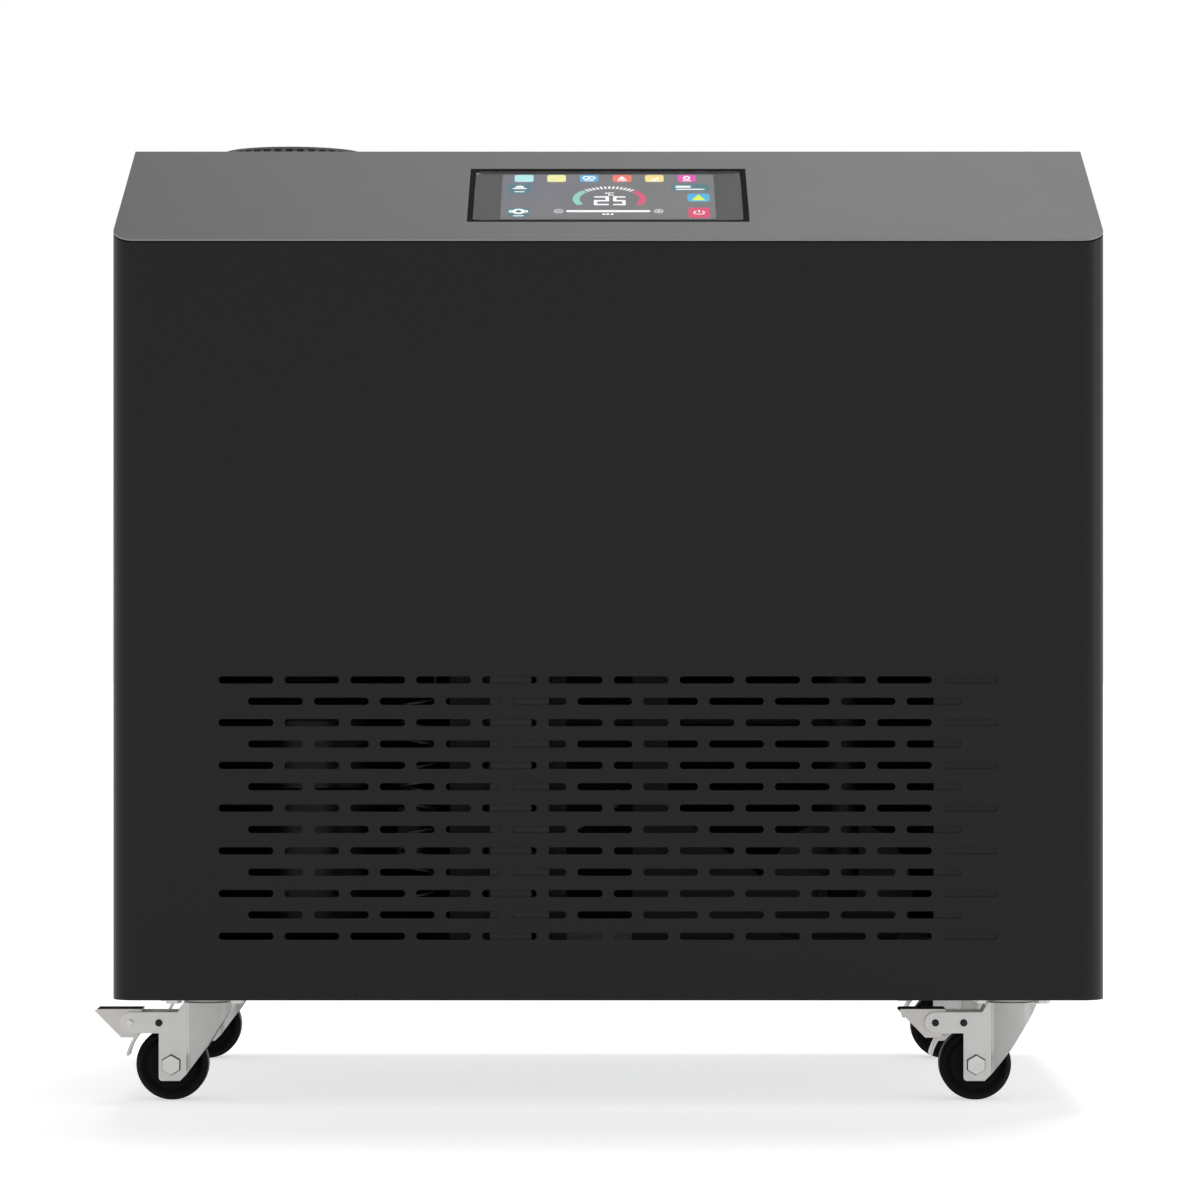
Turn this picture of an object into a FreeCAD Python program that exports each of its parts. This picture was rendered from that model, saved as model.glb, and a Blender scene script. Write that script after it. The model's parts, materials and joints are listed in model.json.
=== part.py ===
# Ice bath chiller: a sheet steel cabinet with a sloped console, a slotted air intake,
# a touch display, a round vent on its flat top and four braked swivel castors. Inside it
# holds the refrigeration circuit, the water circuit and the fans.
# X is to the right, Y to the back, Z up. The origin is on the floor under the middle of
# the cabinet, midway between the swivel axes of the four castors. Millimetres, degrees.
import FreeCAD, Part
import Sketcher
import math
import os
import re

App = FreeCAD
Vector = App.Vector
doc = App.newDocument("ice_bath_chiller")

# Driving dimensions: name, value and what it measures.
SIZES = (
    ("cabinet_width", 700, "outer width of the cabinet"),
    ("cabinet_depth", 420, "front face to the back of the side walls"),
    ("front_height", 536, "lower edge of the front face to the front edge of the cover"),
    ("slope_run", 167.4, "level depth of the sloped console"),
    ("slope_angle", 25, "tilt of the console against level"),
    ("sheet", 1.5, "thickness of the cabinet sheet"),
    ("corner_radius", 17, "outer radius of the two upright front corners"),
    ("ridge_radius", 4, "outer radius of the fold between console and flat top"),
    ("seam", 0.8, "shadow gap between the cover and the panels below it"),
    ("tab_width", 26, "cover's tabs, front to back"),
    ("tab_drop", 22, "cover's tabs below the flat top"),
    ("rear_flange", 16, "inturned flange at the back of each side wall"),
    ("slot_length", 38.6, "intake slot, end to end"),
    ("slot_width", 5.1, "intake slot, across"),
    ("slot_pitch", 46.33, "intake slots, spacing along a row"),
    ("slot_start", 274.2, "cabinet middle to the outer end of the first slot of a long row"),
    ("slot_stagger", 20.75, "shift of the short rows against the long rows"),
    ("slot_count", 12, "slots in a long row; a short row has one less"),
    ("long_rows", 7, "number of long rows; there is one short row less"),
    ("row_pitch", 15.03, "spacing of the rows"),
    ("row_start", 45.2, "lower edge of the cabinet to the lowest row"),
    ("pan_rise", 24, "height of the upturned edge of the base pan"),
    ("pan_sheet", 2, "thickness of the base pan"),
    ("pan_fit", 0.3, "gap between the base pan and the shell around it"),
    ("post_left", 83.2, "cabinet middle to the left edge of the centre post"),
    ("post_right", 41.7, "cabinet middle to the right edge of the centre post"),
    ("post_depth", 20, "centre post, front to back"),
    ("post_wing", 29, "left flange of the centre post"),
    ("post_lip", 12, "right flange of the centre post"),
    ("post_height", 448, "length of the centre post"),
    ("upright_left", 17.2, "cabinet middle to the left edge of the inner upright"),
    ("upright_width", 25.3, "front face of the inner upright"),
    ("upright_web", 45, "side web of the inner upright, front to back"),
    ("upright_set", 26, "inner upright behind the front face"),
    ("upright_height", 380, "length of the inner upright"),
    ("gusset_reach", 105, "foot gusset of the inner upright, to the right"),
    ("gusset_low", 74, "level of the gusset's outer corner above the base pan"),
    ("gusset_high", 132, "level above the base pan where the gusset leaves the upright"),
    ("blank_left", 229, "cabinet middle to the left edge of the blanking plate"),
    ("blank_width", 62, "width of the blanking plate"),
    ("blank_height", 250, "height of the blanking plate"),
    ("window_width", 201, "display opening across"),
    ("window_length", 112, "display opening along the slope"),
    ("window_start", 34.5, "front edge of the slope to the display opening"),
    ("window_fit", 0.2, "gap between the display frame and its opening"),
    ("frame_rim", 3.6, "visible rim of the display frame round the glass"),
    ("frame_wall", 1.2, "thickness of the display frame's flange and ledge"),
    ("frame_flange", 6, "flange of the display frame under the cover"),
    ("recess", 0.9, "glass below the surface of the slope"),
    ("glass_thick", 1.6, "display glass"),
    ("ledge", 2.2, "ledge under the edge of the glass"),
    ("module_width", 164, "display module across"),
    ("module_length", 99, "display module along the slope"),
    ("module_thick", 7, "display module"),
    ("vent_left", 241, "cabinet middle to the vent's middle"),
    ("vent_back", 290, "front face to the vent's middle"),
    ("vent_radius", 52, "outer radius of the vent guard"),
    ("vent_rise", 10.7, "height of the vent guard above the flat top"),
    ("vent_wall", 2.4, "rim and bars of the vent guard"),
    ("vent_bars", 38, "upright bars round the vent guard"),
    ("vent_hole", 43.5, "radius of the vent hole in the cover"),
    ("vent_fan_side", 92, "side of the square vent fan"),
    ("vent_fan_depth", 25, "depth of the vent fan"),
    ("vent_hub", 18, "radius of the vent fan's hub"),
    ("tip_gap", 1.5, "running gap round a fan"),
    ("running_gap", 0.05, "radial play of a shaft or axle in its hole"),
    ("face_gap", 0.3, "play between faces that turn past each other"),
    ("fan_right", 172, "cabinet middle to the condenser fan's axis"),
    ("fan_level", 260, "lower edge of the cabinet to the condenser fan's axis"),
    ("fan_radius", 122, "radius of the fan opening in the rear panel"),
    ("fan_hub", 34, "radius of the condenser fan's hub"),
    ("fan_shaft", 5, "radius of the fan motor's shaft"),
    ("motor_radius", 40, "radius of the fan motor"),
    ("motor_length", 34, "length of the fan motor"),
    ("guard_wire", 1.6, "wire radius of the rear guard"),
    ("guard_rings", 7, "rings of the rear guard"),
    ("guard_margin", 4, "outermost ring beyond the fan opening, and its feet"),
    ("guard_disc", 20, "radius of the plate in the middle of the rear guard"),
    ("coil_side", 284, "side of the condenser"),
    ("coil_depth", 44, "condenser, front to back"),
    ("coil_front", 94, "cabinet middle back to the condenser's front"),
    ("coil_tube", 4.8, "radius of the condenser tube"),
    ("coil_passes", 8, "level passes of the condenser tube"),
    ("fin_pitch", 7, "spacing of the condenser's fins"),
    ("fin_thick", 1.4, "fin with its collar"),
    ("compressor_left", 230, "cabinet middle to the compressor's axis"),
    ("compressor_back", 15, "cabinet middle back to the compressor's axis"),
    ("compressor_radius", 76, "radius of the compressor's shell"),
    ("compressor_height", 212, "height of the compressor's shell"),
    ("foot_spread", 66, "compressor axis to each foot, along X and Y"),
    ("grommet_height", 16, "height of the rubber feet"),
    ("exchanger_left", 100, "cabinet middle to the heat exchanger's axis"),
    ("exchanger_back", 140, "cabinet middle back to the heat exchanger's axis"),
    ("exchanger_radius", 55, "radius of the heat exchanger's barrel"),
    ("exchanger_height", 330, "height of the heat exchanger"),
    ("pump_level", 64, "base pan to the pump's axis"),
    ("pump_right", 171, "cabinet middle to the pump's axis"),
    ("pump_front", 20, "cabinet middle forward to the back of the pump's volute"),
    ("pump_radius", 46, "radius of the pump motor"),
    ("pump_length", 116, "length of the pump motor"),
    ("volute_radius", 54, "radius of the pump's volute"),
    ("volute_length", 34, "width of the pump's volute"),
    ("filter_right", 276, "cabinet middle to the filter's axis"),
    ("filter_front", 108, "cabinet middle forward to the filter's axis"),
    ("filter_radius", 56, "radius of the filter bowl"),
    ("filter_height", 250, "height of the filter bowl"),
    ("filter_level", 330, "base pan to the underside of the filter head"),
    ("hose_radius", 11, "outer radius of the water hoses"),
    ("hose_bore", 8, "inner radius of the water hoses"),
    ("pipe_radius", 4.8, "outer radius of the copper pipes"),
    ("pipe_bore", 3.8, "inner radius of the copper pipes"),
    ("capillary_radius", 1.2, "radius of the capillary tube"),
    ("capillary_coil", 11.5, "radius of the capillary coil"),
    ("capillary_pitch", 11.5, "rise of one turn of the capillary coil"),
    ("capillary_turns", 13, "turns of the capillary coil"),
    ("capillary_left", 136, "cabinet middle to the capillary coil's axis"),
    ("capillary_set", 58, "capillary coil behind the front face"),
    ("capillary_level", 60, "base pan to the capillary coil's start"),
    ("drier_right", 8, "cabinet middle to the filter drier's axis"),
    ("drier_back", 30, "cabinet middle back to the filter drier's middle"),
    ("pump_hose_rise", 62, "pump's outlet to the level run of its hose"),
    ("suction_rise", 30, "heat exchanger's stubs to the level run of the suction pipe"),
    ("discharge_rise", 180, "compressor's top to the level run of the discharge pipe"),
    ("union_radius", 16.6, "radius of the male thread of the water unions"),
    ("union_thread", 22, "length of the male thread outside the rear panel"),
    ("union_flange", 22, "radius of the union's flange"),
    ("screw_radius", 2, "rear panel screw"),
    ("box_width", 280, "control box across"),
    ("box_depth", 88, "control box, front to back"),
    ("box_height", 170, "control box, height"),
    ("inlet_width", 27.5, "power inlet body across"),
    ("inlet_height", 47, "power inlet body, height"),
    ("inlet_depth", 24, "power inlet behind the rear panel"),
    ("rocker_width", 12, "rocker across"),
    ("rocker_height", 19, "rocker, height"),
    ("castor_height", 76, "floor to the lower edge of the cabinet"),
    ("castor_across", 287.5, "cabinet middle to a castor's swivel axis, along X"),
    ("castor_along", 147, "cabinet middle to a castor's swivel axis, along Y"),
    ("plate_side", 60, "side of a castor's top plate"),
    ("plate_thick", 2.5, "thickness of a castor's top plate"),
    ("bolt_spread", 22, "swivel axis to a castor bolt, along X and Y"),
    ("bolt_radius", 3, "castor bolt"),
    ("king_radius", 4, "castor king pin"),
    ("castor_trail", 24.65, "swivel axis to wheel axle"),
    ("wheel_radius", 25.75, "castor wheel"),
    ("wheel_width", 20, "castor wheel across the tread"),
    ("tread_round", 3, "rounding of the tread's edges"),
    ("axle_radius", 3, "wheel axle"),
    ("nut_flats", 12, "axle bolt head across its flats"),
    ("nut_height", 4, "axle bolt head"),
    ("fork_sheet", 2.5, "sheet of the fork"),
    ("fork_half", 11.8, "half the clear width between the fork's legs"),
    ("skirt_radius", 20, "outer radius of the fork's round skirt"),
    ("fork_top", 70.2, "floor to the top of the fork"),
    ("leg_front", 33.6, "swivel axis to the trailing edge of the leg"),
    ("leg_back", 13.9, "swivel axis to the leading edge of the leg"),
    ("leg_low", 14.2, "floor to the end of the leg"),
    ("leg_cut", 4.6, "cut corner at the end of the leg"),
    ("arm_level", 55.7, "floor to the middle of the fork's brake arm"),
    ("arm_height", 15, "brake arm, height"),
    ("arm_reach", 53.7, "swivel axis to the pedal's pivot"),
    ("rivet_reach", 33.5, "swivel axis to the brake rivet"),
    ("rivet_radius", 2.5, "brake rivet and pedal pin"),
    ("pedal_reach", 79.7, "swivel axis to the pedal's tip"),
    ("pedal_top", 65.3, "floor to the pedal's tread"),
    ("pedal_low", 44.9, "floor to the lower edge of the pedal's cheeks"),
    ("pedal_sheet", 1.8, "sheet of the pedal"),
    ("brake_radius", 31.4, "axle to the inside of the brake leaf"),
)

NAMES = {name for name, value, meaning in SIZES}
WORD = re.compile(r"[a-z_]+")

sheet = doc.addObject("Spreadsheet::Sheet", "Sizes")
for row, (name, size, meaning) in enumerate(SIZES, 1):
    sheet.set("A%d" % row, name)
    sheet.set("B%d" % row, str(size))
    sheet.set("C%d" % row, meaning)
    sheet.setAlias("B%d" % row, name)
doc.recompute()

nodes = {}


def tied(text):
    """An expression in which every size name points at its cell of the sheet."""
    return WORD.sub(lambda m: "Sizes." + m.group() if m.group() in NAMES else m.group(), str(text))


def number(text):
    """The present value of an expression in size names."""
    found = sheet.evalExpression(tied(text))
    return float(getattr(found, "Value", found))


def point(x, y, z):
    return Vector(number(x), number(y), number(z))


def place(thing, x=0, y=0, z=0, turn_axis=None, turn_angle=0):
    """Bind where a sub-part stands, and how far it is turned about one axis."""
    if turn_axis is not None:
        thing.Placement = App.Placement(Vector(), App.Rotation(turn_axis, 30))
        thing.setExpression(".Placement.Rotation.Angle", tied(turn_angle))
    for letter, text in (("x", x), ("y", y), ("z", z)):
        thing.setExpression(".Placement.Base." + letter, tied(text))


def body(label, x=0, y=0, z=0, turn_axis=None, turn_angle=0):
    """A new PartDesign body, a node of the assembly."""
    part = doc.addObject("PartDesign::Body", label)
    part.Label = label
    nodes[label] = part
    place(part, x, y, z, turn_axis, turn_angle)
    return part


def plane(part, name):
    return [item for item in part.Origin.OriginFeatures if item.Role == name + "_Plane"][0]


def add_polygon(sketch, corners):
    """A closed outline of straight edges, each corner held by two expressions."""
    first = sketch.GeometryCount
    count = len(corners)
    spots = [Vector(number(x), number(y), 0) for x, y in corners]
    for k in range(count):
        sketch.addGeometry(Part.LineSegment(spots[k], spots[(k + 1) % count]), False)
    for k in range(count):
        sketch.addConstraint(
            Sketcher.Constraint("Coincident", first + k, 2, first + (k + 1) % count, 1))
    for k, (x, y) in enumerate(corners):
        hold(sketch, "DistanceX", (-1, 1, first + k, 1), spots[k].x, x)
        hold(sketch, "DistanceY", (-1, 1, first + k, 1), spots[k].y, y)


def add_circle(sketch, x, y, radius):
    k = sketch.addGeometry(
        Part.Circle(Vector(number(x), number(y), 0), Vector(0, 0, 1), number(radius)), False)
    hold(sketch, "DistanceX", (-1, 1, k, 3), number(x), x)
    hold(sketch, "DistanceY", (-1, 1, k, 3), number(y), y)
    hold(sketch, "Radius", (k,), number(radius), radius)


def add_slot(sketch, x, y, length, width):
    """A level slot with round ends: x is its left end, y its middle."""
    radius = number(width) / 2
    left = number(x) + radius
    right = left + number(length) - 2 * radius
    level = number(y)
    quarter = math.pi / 2
    k = sketch.GeometryCount
    out = Vector(0, 0, 1)
    sketch.addGeometry([
        Part.LineSegment(Vector(left, level - radius, 0), Vector(right, level - radius, 0)),
        Part.ArcOfCircle(Part.Circle(Vector(right, level, 0), out, radius), -quarter, quarter),
        Part.LineSegment(Vector(right, level + radius, 0), Vector(left, level + radius, 0)),
        Part.ArcOfCircle(Part.Circle(Vector(left, level, 0), out, radius), quarter, 3 * quarter),
    ], False)
    for a, b in ((0, 1), (1, 2), (2, 3), (3, 0)):
        sketch.addConstraint(Sketcher.Constraint("Tangent", k + a, 2, k + b, 1))
    sketch.addConstraint(Sketcher.Constraint("Horizontal", k))
    sketch.addConstraint(Sketcher.Constraint("Equal", k + 1, k + 3))
    hold(sketch, "Radius", (k + 1,), radius, "(%s) / 2" % width)
    hold(sketch, "DistanceX", (k + 3, 3, k + 1, 3), right - left, "%s - %s" % (length, width))
    hold(sketch, "DistanceX", (-1, 1, k + 3, 3), left, "%s + %s / 2" % (x, width))
    hold(sketch, "DistanceY", (-1, 1, k + 3, 3), level, y)


def hold(sketch, kind, where, start, text):
    k = sketch.addConstraint(Sketcher.Constraint(kind, *where, start))
    sketch.setExpression("Constraints[%d]" % k, tied(text))


def draw(part, name, level, *loops, slope=False):
    """A sketch on one of the body's planes, at a level along the plane's axis."""
    sketch = part.newObject("Sketcher::SketchObject", part.Name + "_outline")
    sketch.AttachmentSupport = [(plane(part, name), "")]
    sketch.MapMode = "FlatFace"
    if slope:
        sketch.AttachmentOffset = App.Placement(Vector(), App.Rotation(Vector(1, 0, 0), 30))
        sketch.setExpression(".AttachmentOffset.Rotation.Angle", tied("slope_angle"))
        sketch.setExpression(".AttachmentOffset.Base.y", tied(FRONT))
        sketch.setExpression(".AttachmentOffset.Base.z", tied(SHOULDER))
    else:
        sign = "-" if name == "XZ" else ""
        sketch.setExpression(".AttachmentOffset.Base.z", tied("%s(%s)" % (sign, level)))
    for loop in loops:
        if isinstance(loop, list):
            add_polygon(sketch, loop)
        elif len(loop) == 3:
            add_circle(sketch, *loop)
        else:
            add_slot(sketch, *loop)
    return sketch


def across(sketch):
    """True where the sketch's normal points against its axis, as on the XZ plane."""
    return sketch.AttachmentSupport[0][0].Role == "XZ_Plane"


def pad(part, sketch, depth, middle=False):
    """Material from the sketch towards the positive axis, or to both sides of it."""
    made = part.newObject("PartDesign::Pad", part.Name + "_pad")
    made.Profile = sketch
    made.Reversed = across(sketch) and not middle
    made.Midplane = middle
    made.setExpression("Length", tied(depth))
    return settled(part, made, 1)


def cut(part, sketch, depth=None, middle=False):
    """A pocket from the sketch towards the positive axis; with no depth, through all."""
    made = part.newObject("PartDesign::Pocket", part.Name + "_pocket")
    made.Profile = sketch
    made.Midplane = middle or depth is None
    made.Reversed = not across(sketch) and not made.Midplane
    if depth is None:
        made.Type = 1
    else:
        made.setExpression("Length", tied(depth))
    return settled(part, made, -1)


def turned(part, sketch, axis="V_Axis"):
    """A solid of revolution about an axis of its sketch."""
    made = part.newObject("PartDesign::Revolution", part.Name + "_turned")
    made.Profile = sketch
    made.ReferenceAxis = (sketch, [axis])
    made.Angle = 360
    return settled(part, made, 1)


def settled(part, made, sign):
    """Recompute, and stop if the feature failed or did not add or remove material."""
    before = made.BaseFeature.Shape.Volume if made.BaseFeature else 0
    doc.recompute()
    change = made.Shape.Volume - before
    if "Invalid" in made.State or "Error" in made.State or change * sign <= 0:
        raise RuntimeError("%s changed the volume by %.3f" % (made.Name, change))
    part.Tip = made
    return made


def rounded(part, radius, chosen, kind="Fillet"):
    """Round or cut off the edges of the body for which the given test holds."""
    base = part.Tip
    edges = ["Edge%d" % k for k, edge in enumerate(base.Shape.Edges, 1) if chosen(edge)]
    if not edges:
        raise RuntimeError("no edge to round on " + part.Label)
    made = part.newObject("PartDesign::" + kind, part.Name + "_" + kind.lower())
    made.Base = (base, edges)
    made.setExpression("Radius" if kind == "Fillet" else "Size", tied(radius))
    doc.recompute()
    part.Tip = made
    return made


def upright(edge):
    """True for a straight edge that runs along Z."""
    return edge.Curve.TypeId == "Part::GeomLine" and abs(edge.Curve.Direction.z) > 0.999


def near(edge, x=None, y=None, z=None, slack=0.01):
    """True where the edge's middle lies at the given coordinates."""
    middle = edge.BoundBox.Center
    pairs = ((x, middle.x), (y, middle.y), (z, middle.z))
    return all(want is None or abs(want - have) < slack for want, have in pairs)


def row_of(part, feature, *runs):
    """Repeat a feature along one or both axes of its sketch: axis, count and spacing."""
    lines = []
    many = len(runs) > 1
    whole = part.newObject("PartDesign::MultiTransform", part.Name + "_rows") if many else None
    for axis, count, pitch in runs:
        name = part.Name + "_row"
        line = doc.addObject("PartDesign::LinearPattern", name) if many else part.newObject(
            "PartDesign::LinearPattern", name)
        if many:
            part.addObject(line)
        line.Direction = (feature.Profile[0], [axis + "_Axis"])
        line.setExpression("Length", tied("(%s) * (%s - 1)" % (pitch, count)))
        line.setExpression("Occurrences", tied(count))
        lines.append(line)
    made = whole or lines[0]
    made.Originals = [feature]
    if many:
        made.Transformations = lines
    part.Tip = made
    doc.recompute()
    return made


def round_of(part, feature, count, axis="Z"):
    """Repeat a feature evenly round one of the body's axes."""
    made = part.newObject("PartDesign::PolarPattern", part.Name + "_round")
    made.Originals = [feature]
    line = [item for item in part.Origin.OriginFeatures if item.Role == axis + "_Axis"][0]
    made.Axis = (line, [""])
    made.Angle = 360
    made.setExpression("Occurrences", tied(count))
    part.Tip = made
    doc.recompute()
    return made


def cylinder(name, radius, height, x=0, y=0, z=0, axis=None):
    """A round bar of the Part workbench, along Z, or along X or Y if asked."""
    made = doc.addObject("Part::Cylinder", name)
    made.setExpression("Radius", tied(radius))
    made.setExpression("Height", tied(height))
    lean = {None: App.Rotation(), "X": App.Rotation(Vector(0, 1, 0), 90),
            "Y": App.Rotation(Vector(1, 0, 0), -90)}[axis]
    made.Placement = App.Placement(Vector(), lean)
    for letter, text in (("x", x), ("y", y), ("z", z)):
        made.setExpression(".Placement.Base." + letter, tied(text))
    return made


def joined(label, pieces, kind="Part::MultiFuse"):
    """One node from several primitives: fused, or a group of separate solids."""
    made = doc.addObject(kind, label)
    made.Label = label
    if kind == "Part::MultiFuse":
        made.Shapes = pieces
    else:
        made.Links = pieces
    nodes[label] = made
    return made


def feature(label, shape):
    """A node whose shape is worked out here with Part's own functions."""
    made = doc.addObject("Part::Feature", label)
    made.Label = label
    made.Shape = shape
    made.Placement = App.Placement()
    nodes[label] = made
    return made


# Levels and faces that many pieces share.
LEFT = "(-cabinet_width / 2)"
RIGHT = "(cabinet_width / 2)"
FRONT = "(-cabinet_depth / 2)"
REAR = "(cabinet_depth / 2)"
SHOULDER = "(castor_height + front_height)"
TOP = "(castor_height + front_height + slope_run * tan(slope_angle))"
RIDGE = "(-cabinet_depth / 2 + slope_run)"
FLOOR = "(castor_height + pan_sheet)"


def roof(drop):
    """The cover's outer line, front to back, lowered square to itself by a distance:
    its height at the front face, the place of its fold, and its flat level."""
    low = "(%s - (%s) / cos(slope_angle))" % (SHOULDER, drop)
    fold = "(%s + (%s) * tan(slope_angle / 2))" % (RIDGE, drop)
    flat = "(%s - (%s))" % (TOP, drop)
    return low, fold, flat


# Cabinet: the front and both sides are one folded sheet.
def make_front_shell():
    part = body("front_shell")
    inner = "cabinet_width / 2 - sheet"
    flange = "cabinet_width / 2 - rear_flange"
    right = [(RIGHT, REAR), (flange, REAR), (flange, REAR + " - sheet"),
             (inner, REAR + " - sheet"), (inner, FRONT + " + sheet")]
    left = [("-(%s)" % x, y) for x, y in reversed(right)]
    plan = draw(part, "XY", "castor_height", [(LEFT, FRONT), (RIGHT, FRONT)] + right + left)
    pad(part, plan, TOP + " - castor_height")
    half, front = number(RIGHT), number(FRONT)
    wall = number("sheet")
    for radius, x, y in (("corner_radius", half, front),
                         ("corner_radius - sheet", half - wall, front + wall)):
        rounded(part, radius, lambda e: upright(e) and (near(e, x, y) or near(e, -x, y)))
    low, fold, flat = roof("sheet + seam")
    margin = 20
    above = "%s + %d" % (TOP, margin)
    cut(part, draw(part, "YZ", 0, [
        ("%s - %d" % (FRONT, margin), "%s - %d * tan(slope_angle)" % (low, margin)),
        (fold, flat), ("%s + %d" % (REAR, margin), flat),
        ("%s + %d" % (REAR, margin), above), ("%s - %d" % (FRONT, margin), above)]))
    row = "castor_height + row_start"
    start = cut(part, draw(part, "XZ", FRONT, ("-slot_start", row, "slot_length", "slot_width")),
                "sheet")
    row_of(part, start, ("H", "slot_count", "slot_pitch"), ("V", "long_rows", "2 * row_pitch"))
    between = cut(part, draw(part, "XZ", FRONT, (
        "-slot_start + slot_stagger", row + " + row_pitch", "slot_length", "slot_width")), "sheet")
    row_of(part, between, ("H", "(slot_count - 1)", "slot_pitch"),
           ("V", "(long_rows - 1)", "2 * row_pitch"))
    holes = [(sign + "(cabinet_width / 2 - rear_flange / 2)", level, "screw_radius + 0.2")
             for sign in ("", "-") for level in SCREW_LEVELS]
    cut(part, draw(part, "XZ", REAR + " - sheet", *holes), "sheet")


# Cover: one sheet, folded once at the ridge, with the display opening, the vent hole and
# four tabs that grip the side walls from inside.
def make_top_cover():
    part = body("top_cover")
    base = "%s - 40" % SHOULDER
    pad(part, draw(part, "XY", base, [
        (LEFT, FRONT), (RIGHT, FRONT), (RIGHT, REAR + " + sheet"), (LEFT, REAR + " + sheet")]),
        "%s - (%s)" % (TOP, base))
    half, front = number(RIGHT), number(FRONT)
    rounded(part, "corner_radius",
            lambda e: upright(e) and (near(e, half, front) or near(e, -half, front)))
    margin = 20
    outside = "%s - %d" % (FRONT, margin)
    behind = "%s + %d" % (REAR, margin)
    low, fold, flat = roof("0")
    cut(part, draw(part, "YZ", 0, [
        (outside, "%s - %d * tan(slope_angle)" % (low, margin)), (fold, flat),
        (fold, flat + " + 1"), (outside, flat + " + 1")]))
    low, fold, flat = roof("sheet")
    deep = "%s - 60" % SHOULDER
    cut(part, draw(part, "YZ", 0, [
        (outside, "%s - %d * tan(slope_angle)" % (low, margin)), (fold, flat),
        (behind, flat), (behind, deep), (outside, deep)]))
    ridge, top = number(RIDGE), number(TOP)
    rounded(part, "ridge_radius", lambda e: near(e, 0, ridge, top))
    low, far = flat + " - tab_drop", " + tab_width"
    for back in ("(cabinet_depth / 2 - 70)", "(slope_run - cabinet_depth / 2 + 20)"):
        for sign in ("", "-"):
            tab = "%s(cabinet_width / 2 - sheet - pan_fit)" % sign
            side = draw(part, "YZ", tab + (" - sheet" if not sign else ""), [
                (back, flat), (back + far, flat), (back + far, low), (back, low)])
            pad(part, side, "sheet")
    cut(part, draw(part, "XY", 0, window("window_width", "window_length", "window_start"),
                   slope=True))
    cut(part, draw(part, "XY", TOP + " - 5", ("-vent_left", VENT_Y, "vent_hole")), "10")


def window(width, length, start):
    """A rectangle in the plane of the slope, centred on the cabinet's middle."""
    return [("-(%s) / 2" % width, start), ("(%s) / 2" % width, start),
            ("(%s) / 2" % width, "%s + %s" % (start, length)),
            ("-(%s) / 2" % width, "%s + %s" % (start, length))]


VENT_Y = "(vent_back - cabinet_depth / 2)"
SCREW_LEVELS = ["castor_height + 40 + %d * (front_height - 60) / 3" % k for k in range(4)]
BACK_FACE = "(cabinet_depth / 2 + sheet)"
FAN_Z = "(castor_height + fan_level)"
OUTLET = ("-2", "(castor_height + pan_sheet + exchanger_height - 46)")
INLET = ("300", "(castor_height + 430)")
POWER = ("-250", "(castor_height + 70)")


# Rear panel: a flat sheet screwed to the flanges of the side walls.
def make_rear_panel():
    part = body("rear_panel")
    low, fold, flat = roof("sheet + seam")
    edge = "(cabinet_width / 2 - 1)"
    pad(part, draw(part, "XZ", REAR, [
        ("-" + edge, "castor_height"), (edge, "castor_height"), (edge, flat), ("-" + edge, flat)]),
        "sheet")
    cut(part, draw(part, "XZ", REAR, ("fan_right", FAN_Z, "fan_radius")), "sheet")
    holes = [(x, z, "union_radius + 0.3") for x, z in (OUTLET, INLET)]
    holes += [(sign + "(cabinet_width / 2 - rear_flange / 2)", level, "screw_radius + 0.2")
              for sign in ("", "-") for level in SCREW_LEVELS]
    cut(part, draw(part, "XZ", REAR, *holes), "sheet")
    x, z = POWER
    cut(part, draw(part, "XZ", REAR, [
        ("%s - inlet_width / 2 - 0.3" % x, "%s - inlet_height / 2 - 0.3" % z),
        ("%s + inlet_width / 2 + 0.3" % x, "%s - inlet_height / 2 - 0.3" % z),
        ("%s + inlet_width / 2 + 0.3" % x, "%s + inlet_height / 2 + 0.3" % z),
        ("%s - inlet_width / 2 - 0.3" % x, "%s + inlet_height / 2 + 0.3" % z)]), "sheet")
    vent = cut(part, draw(part, "XZ", REAR, (
        "-300", "castor_height + 430", "slot_length", "slot_width")), "sheet")
    row_of(part, vent, ("H", "4", "slot_pitch"), ("V", "6", "row_pitch"))


# Base pan: a folded tray that the whole machine stands on.
def make_base_pan():
    part = body("base_pan")
    wide = "(cabinet_width / 2 - sheet - pan_fit)"
    front = "(%s + sheet + pan_fit)" % FRONT
    back = "(%s - sheet - pan_fit)" % REAR
    pad(part, draw(part, "XY", "castor_height", [
        ("-" + wide, front), (wide, front), (wide, back), ("-" + wide, back)]), "pan_rise")
    x, y = number(wide), number(front)
    rounded(part, "corner_radius - sheet - pan_fit",
            lambda e: upright(e) and (near(e, x, y) or near(e, -x, y)))
    inner = "(%s - pan_sheet)" % wide
    cut(part, draw(part, "XY", "castor_height + pan_sheet", [
        ("-" + inner, front + " + pan_sheet"), (inner, front + " + pan_sheet"),
        (inner, back + " - pan_sheet"), ("-" + inner, back + " - pan_sheet")]), "pan_rise")
    holes = []
    for along in ("", "-"):
        for side in ("", "-"):
            for a in ("", "-"):
                for b in ("", "-"):
                    holes.append(("%scastor_across + %sbolt_spread" % (side, a or "0 + "),
                                  "%scastor_along + %sbolt_spread" % (along, b or "0 + "),
                                  "bolt_radius + 0.2"))
    cut(part, draw(part, "XY", "castor_height", *holes), "pan_sheet")


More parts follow.
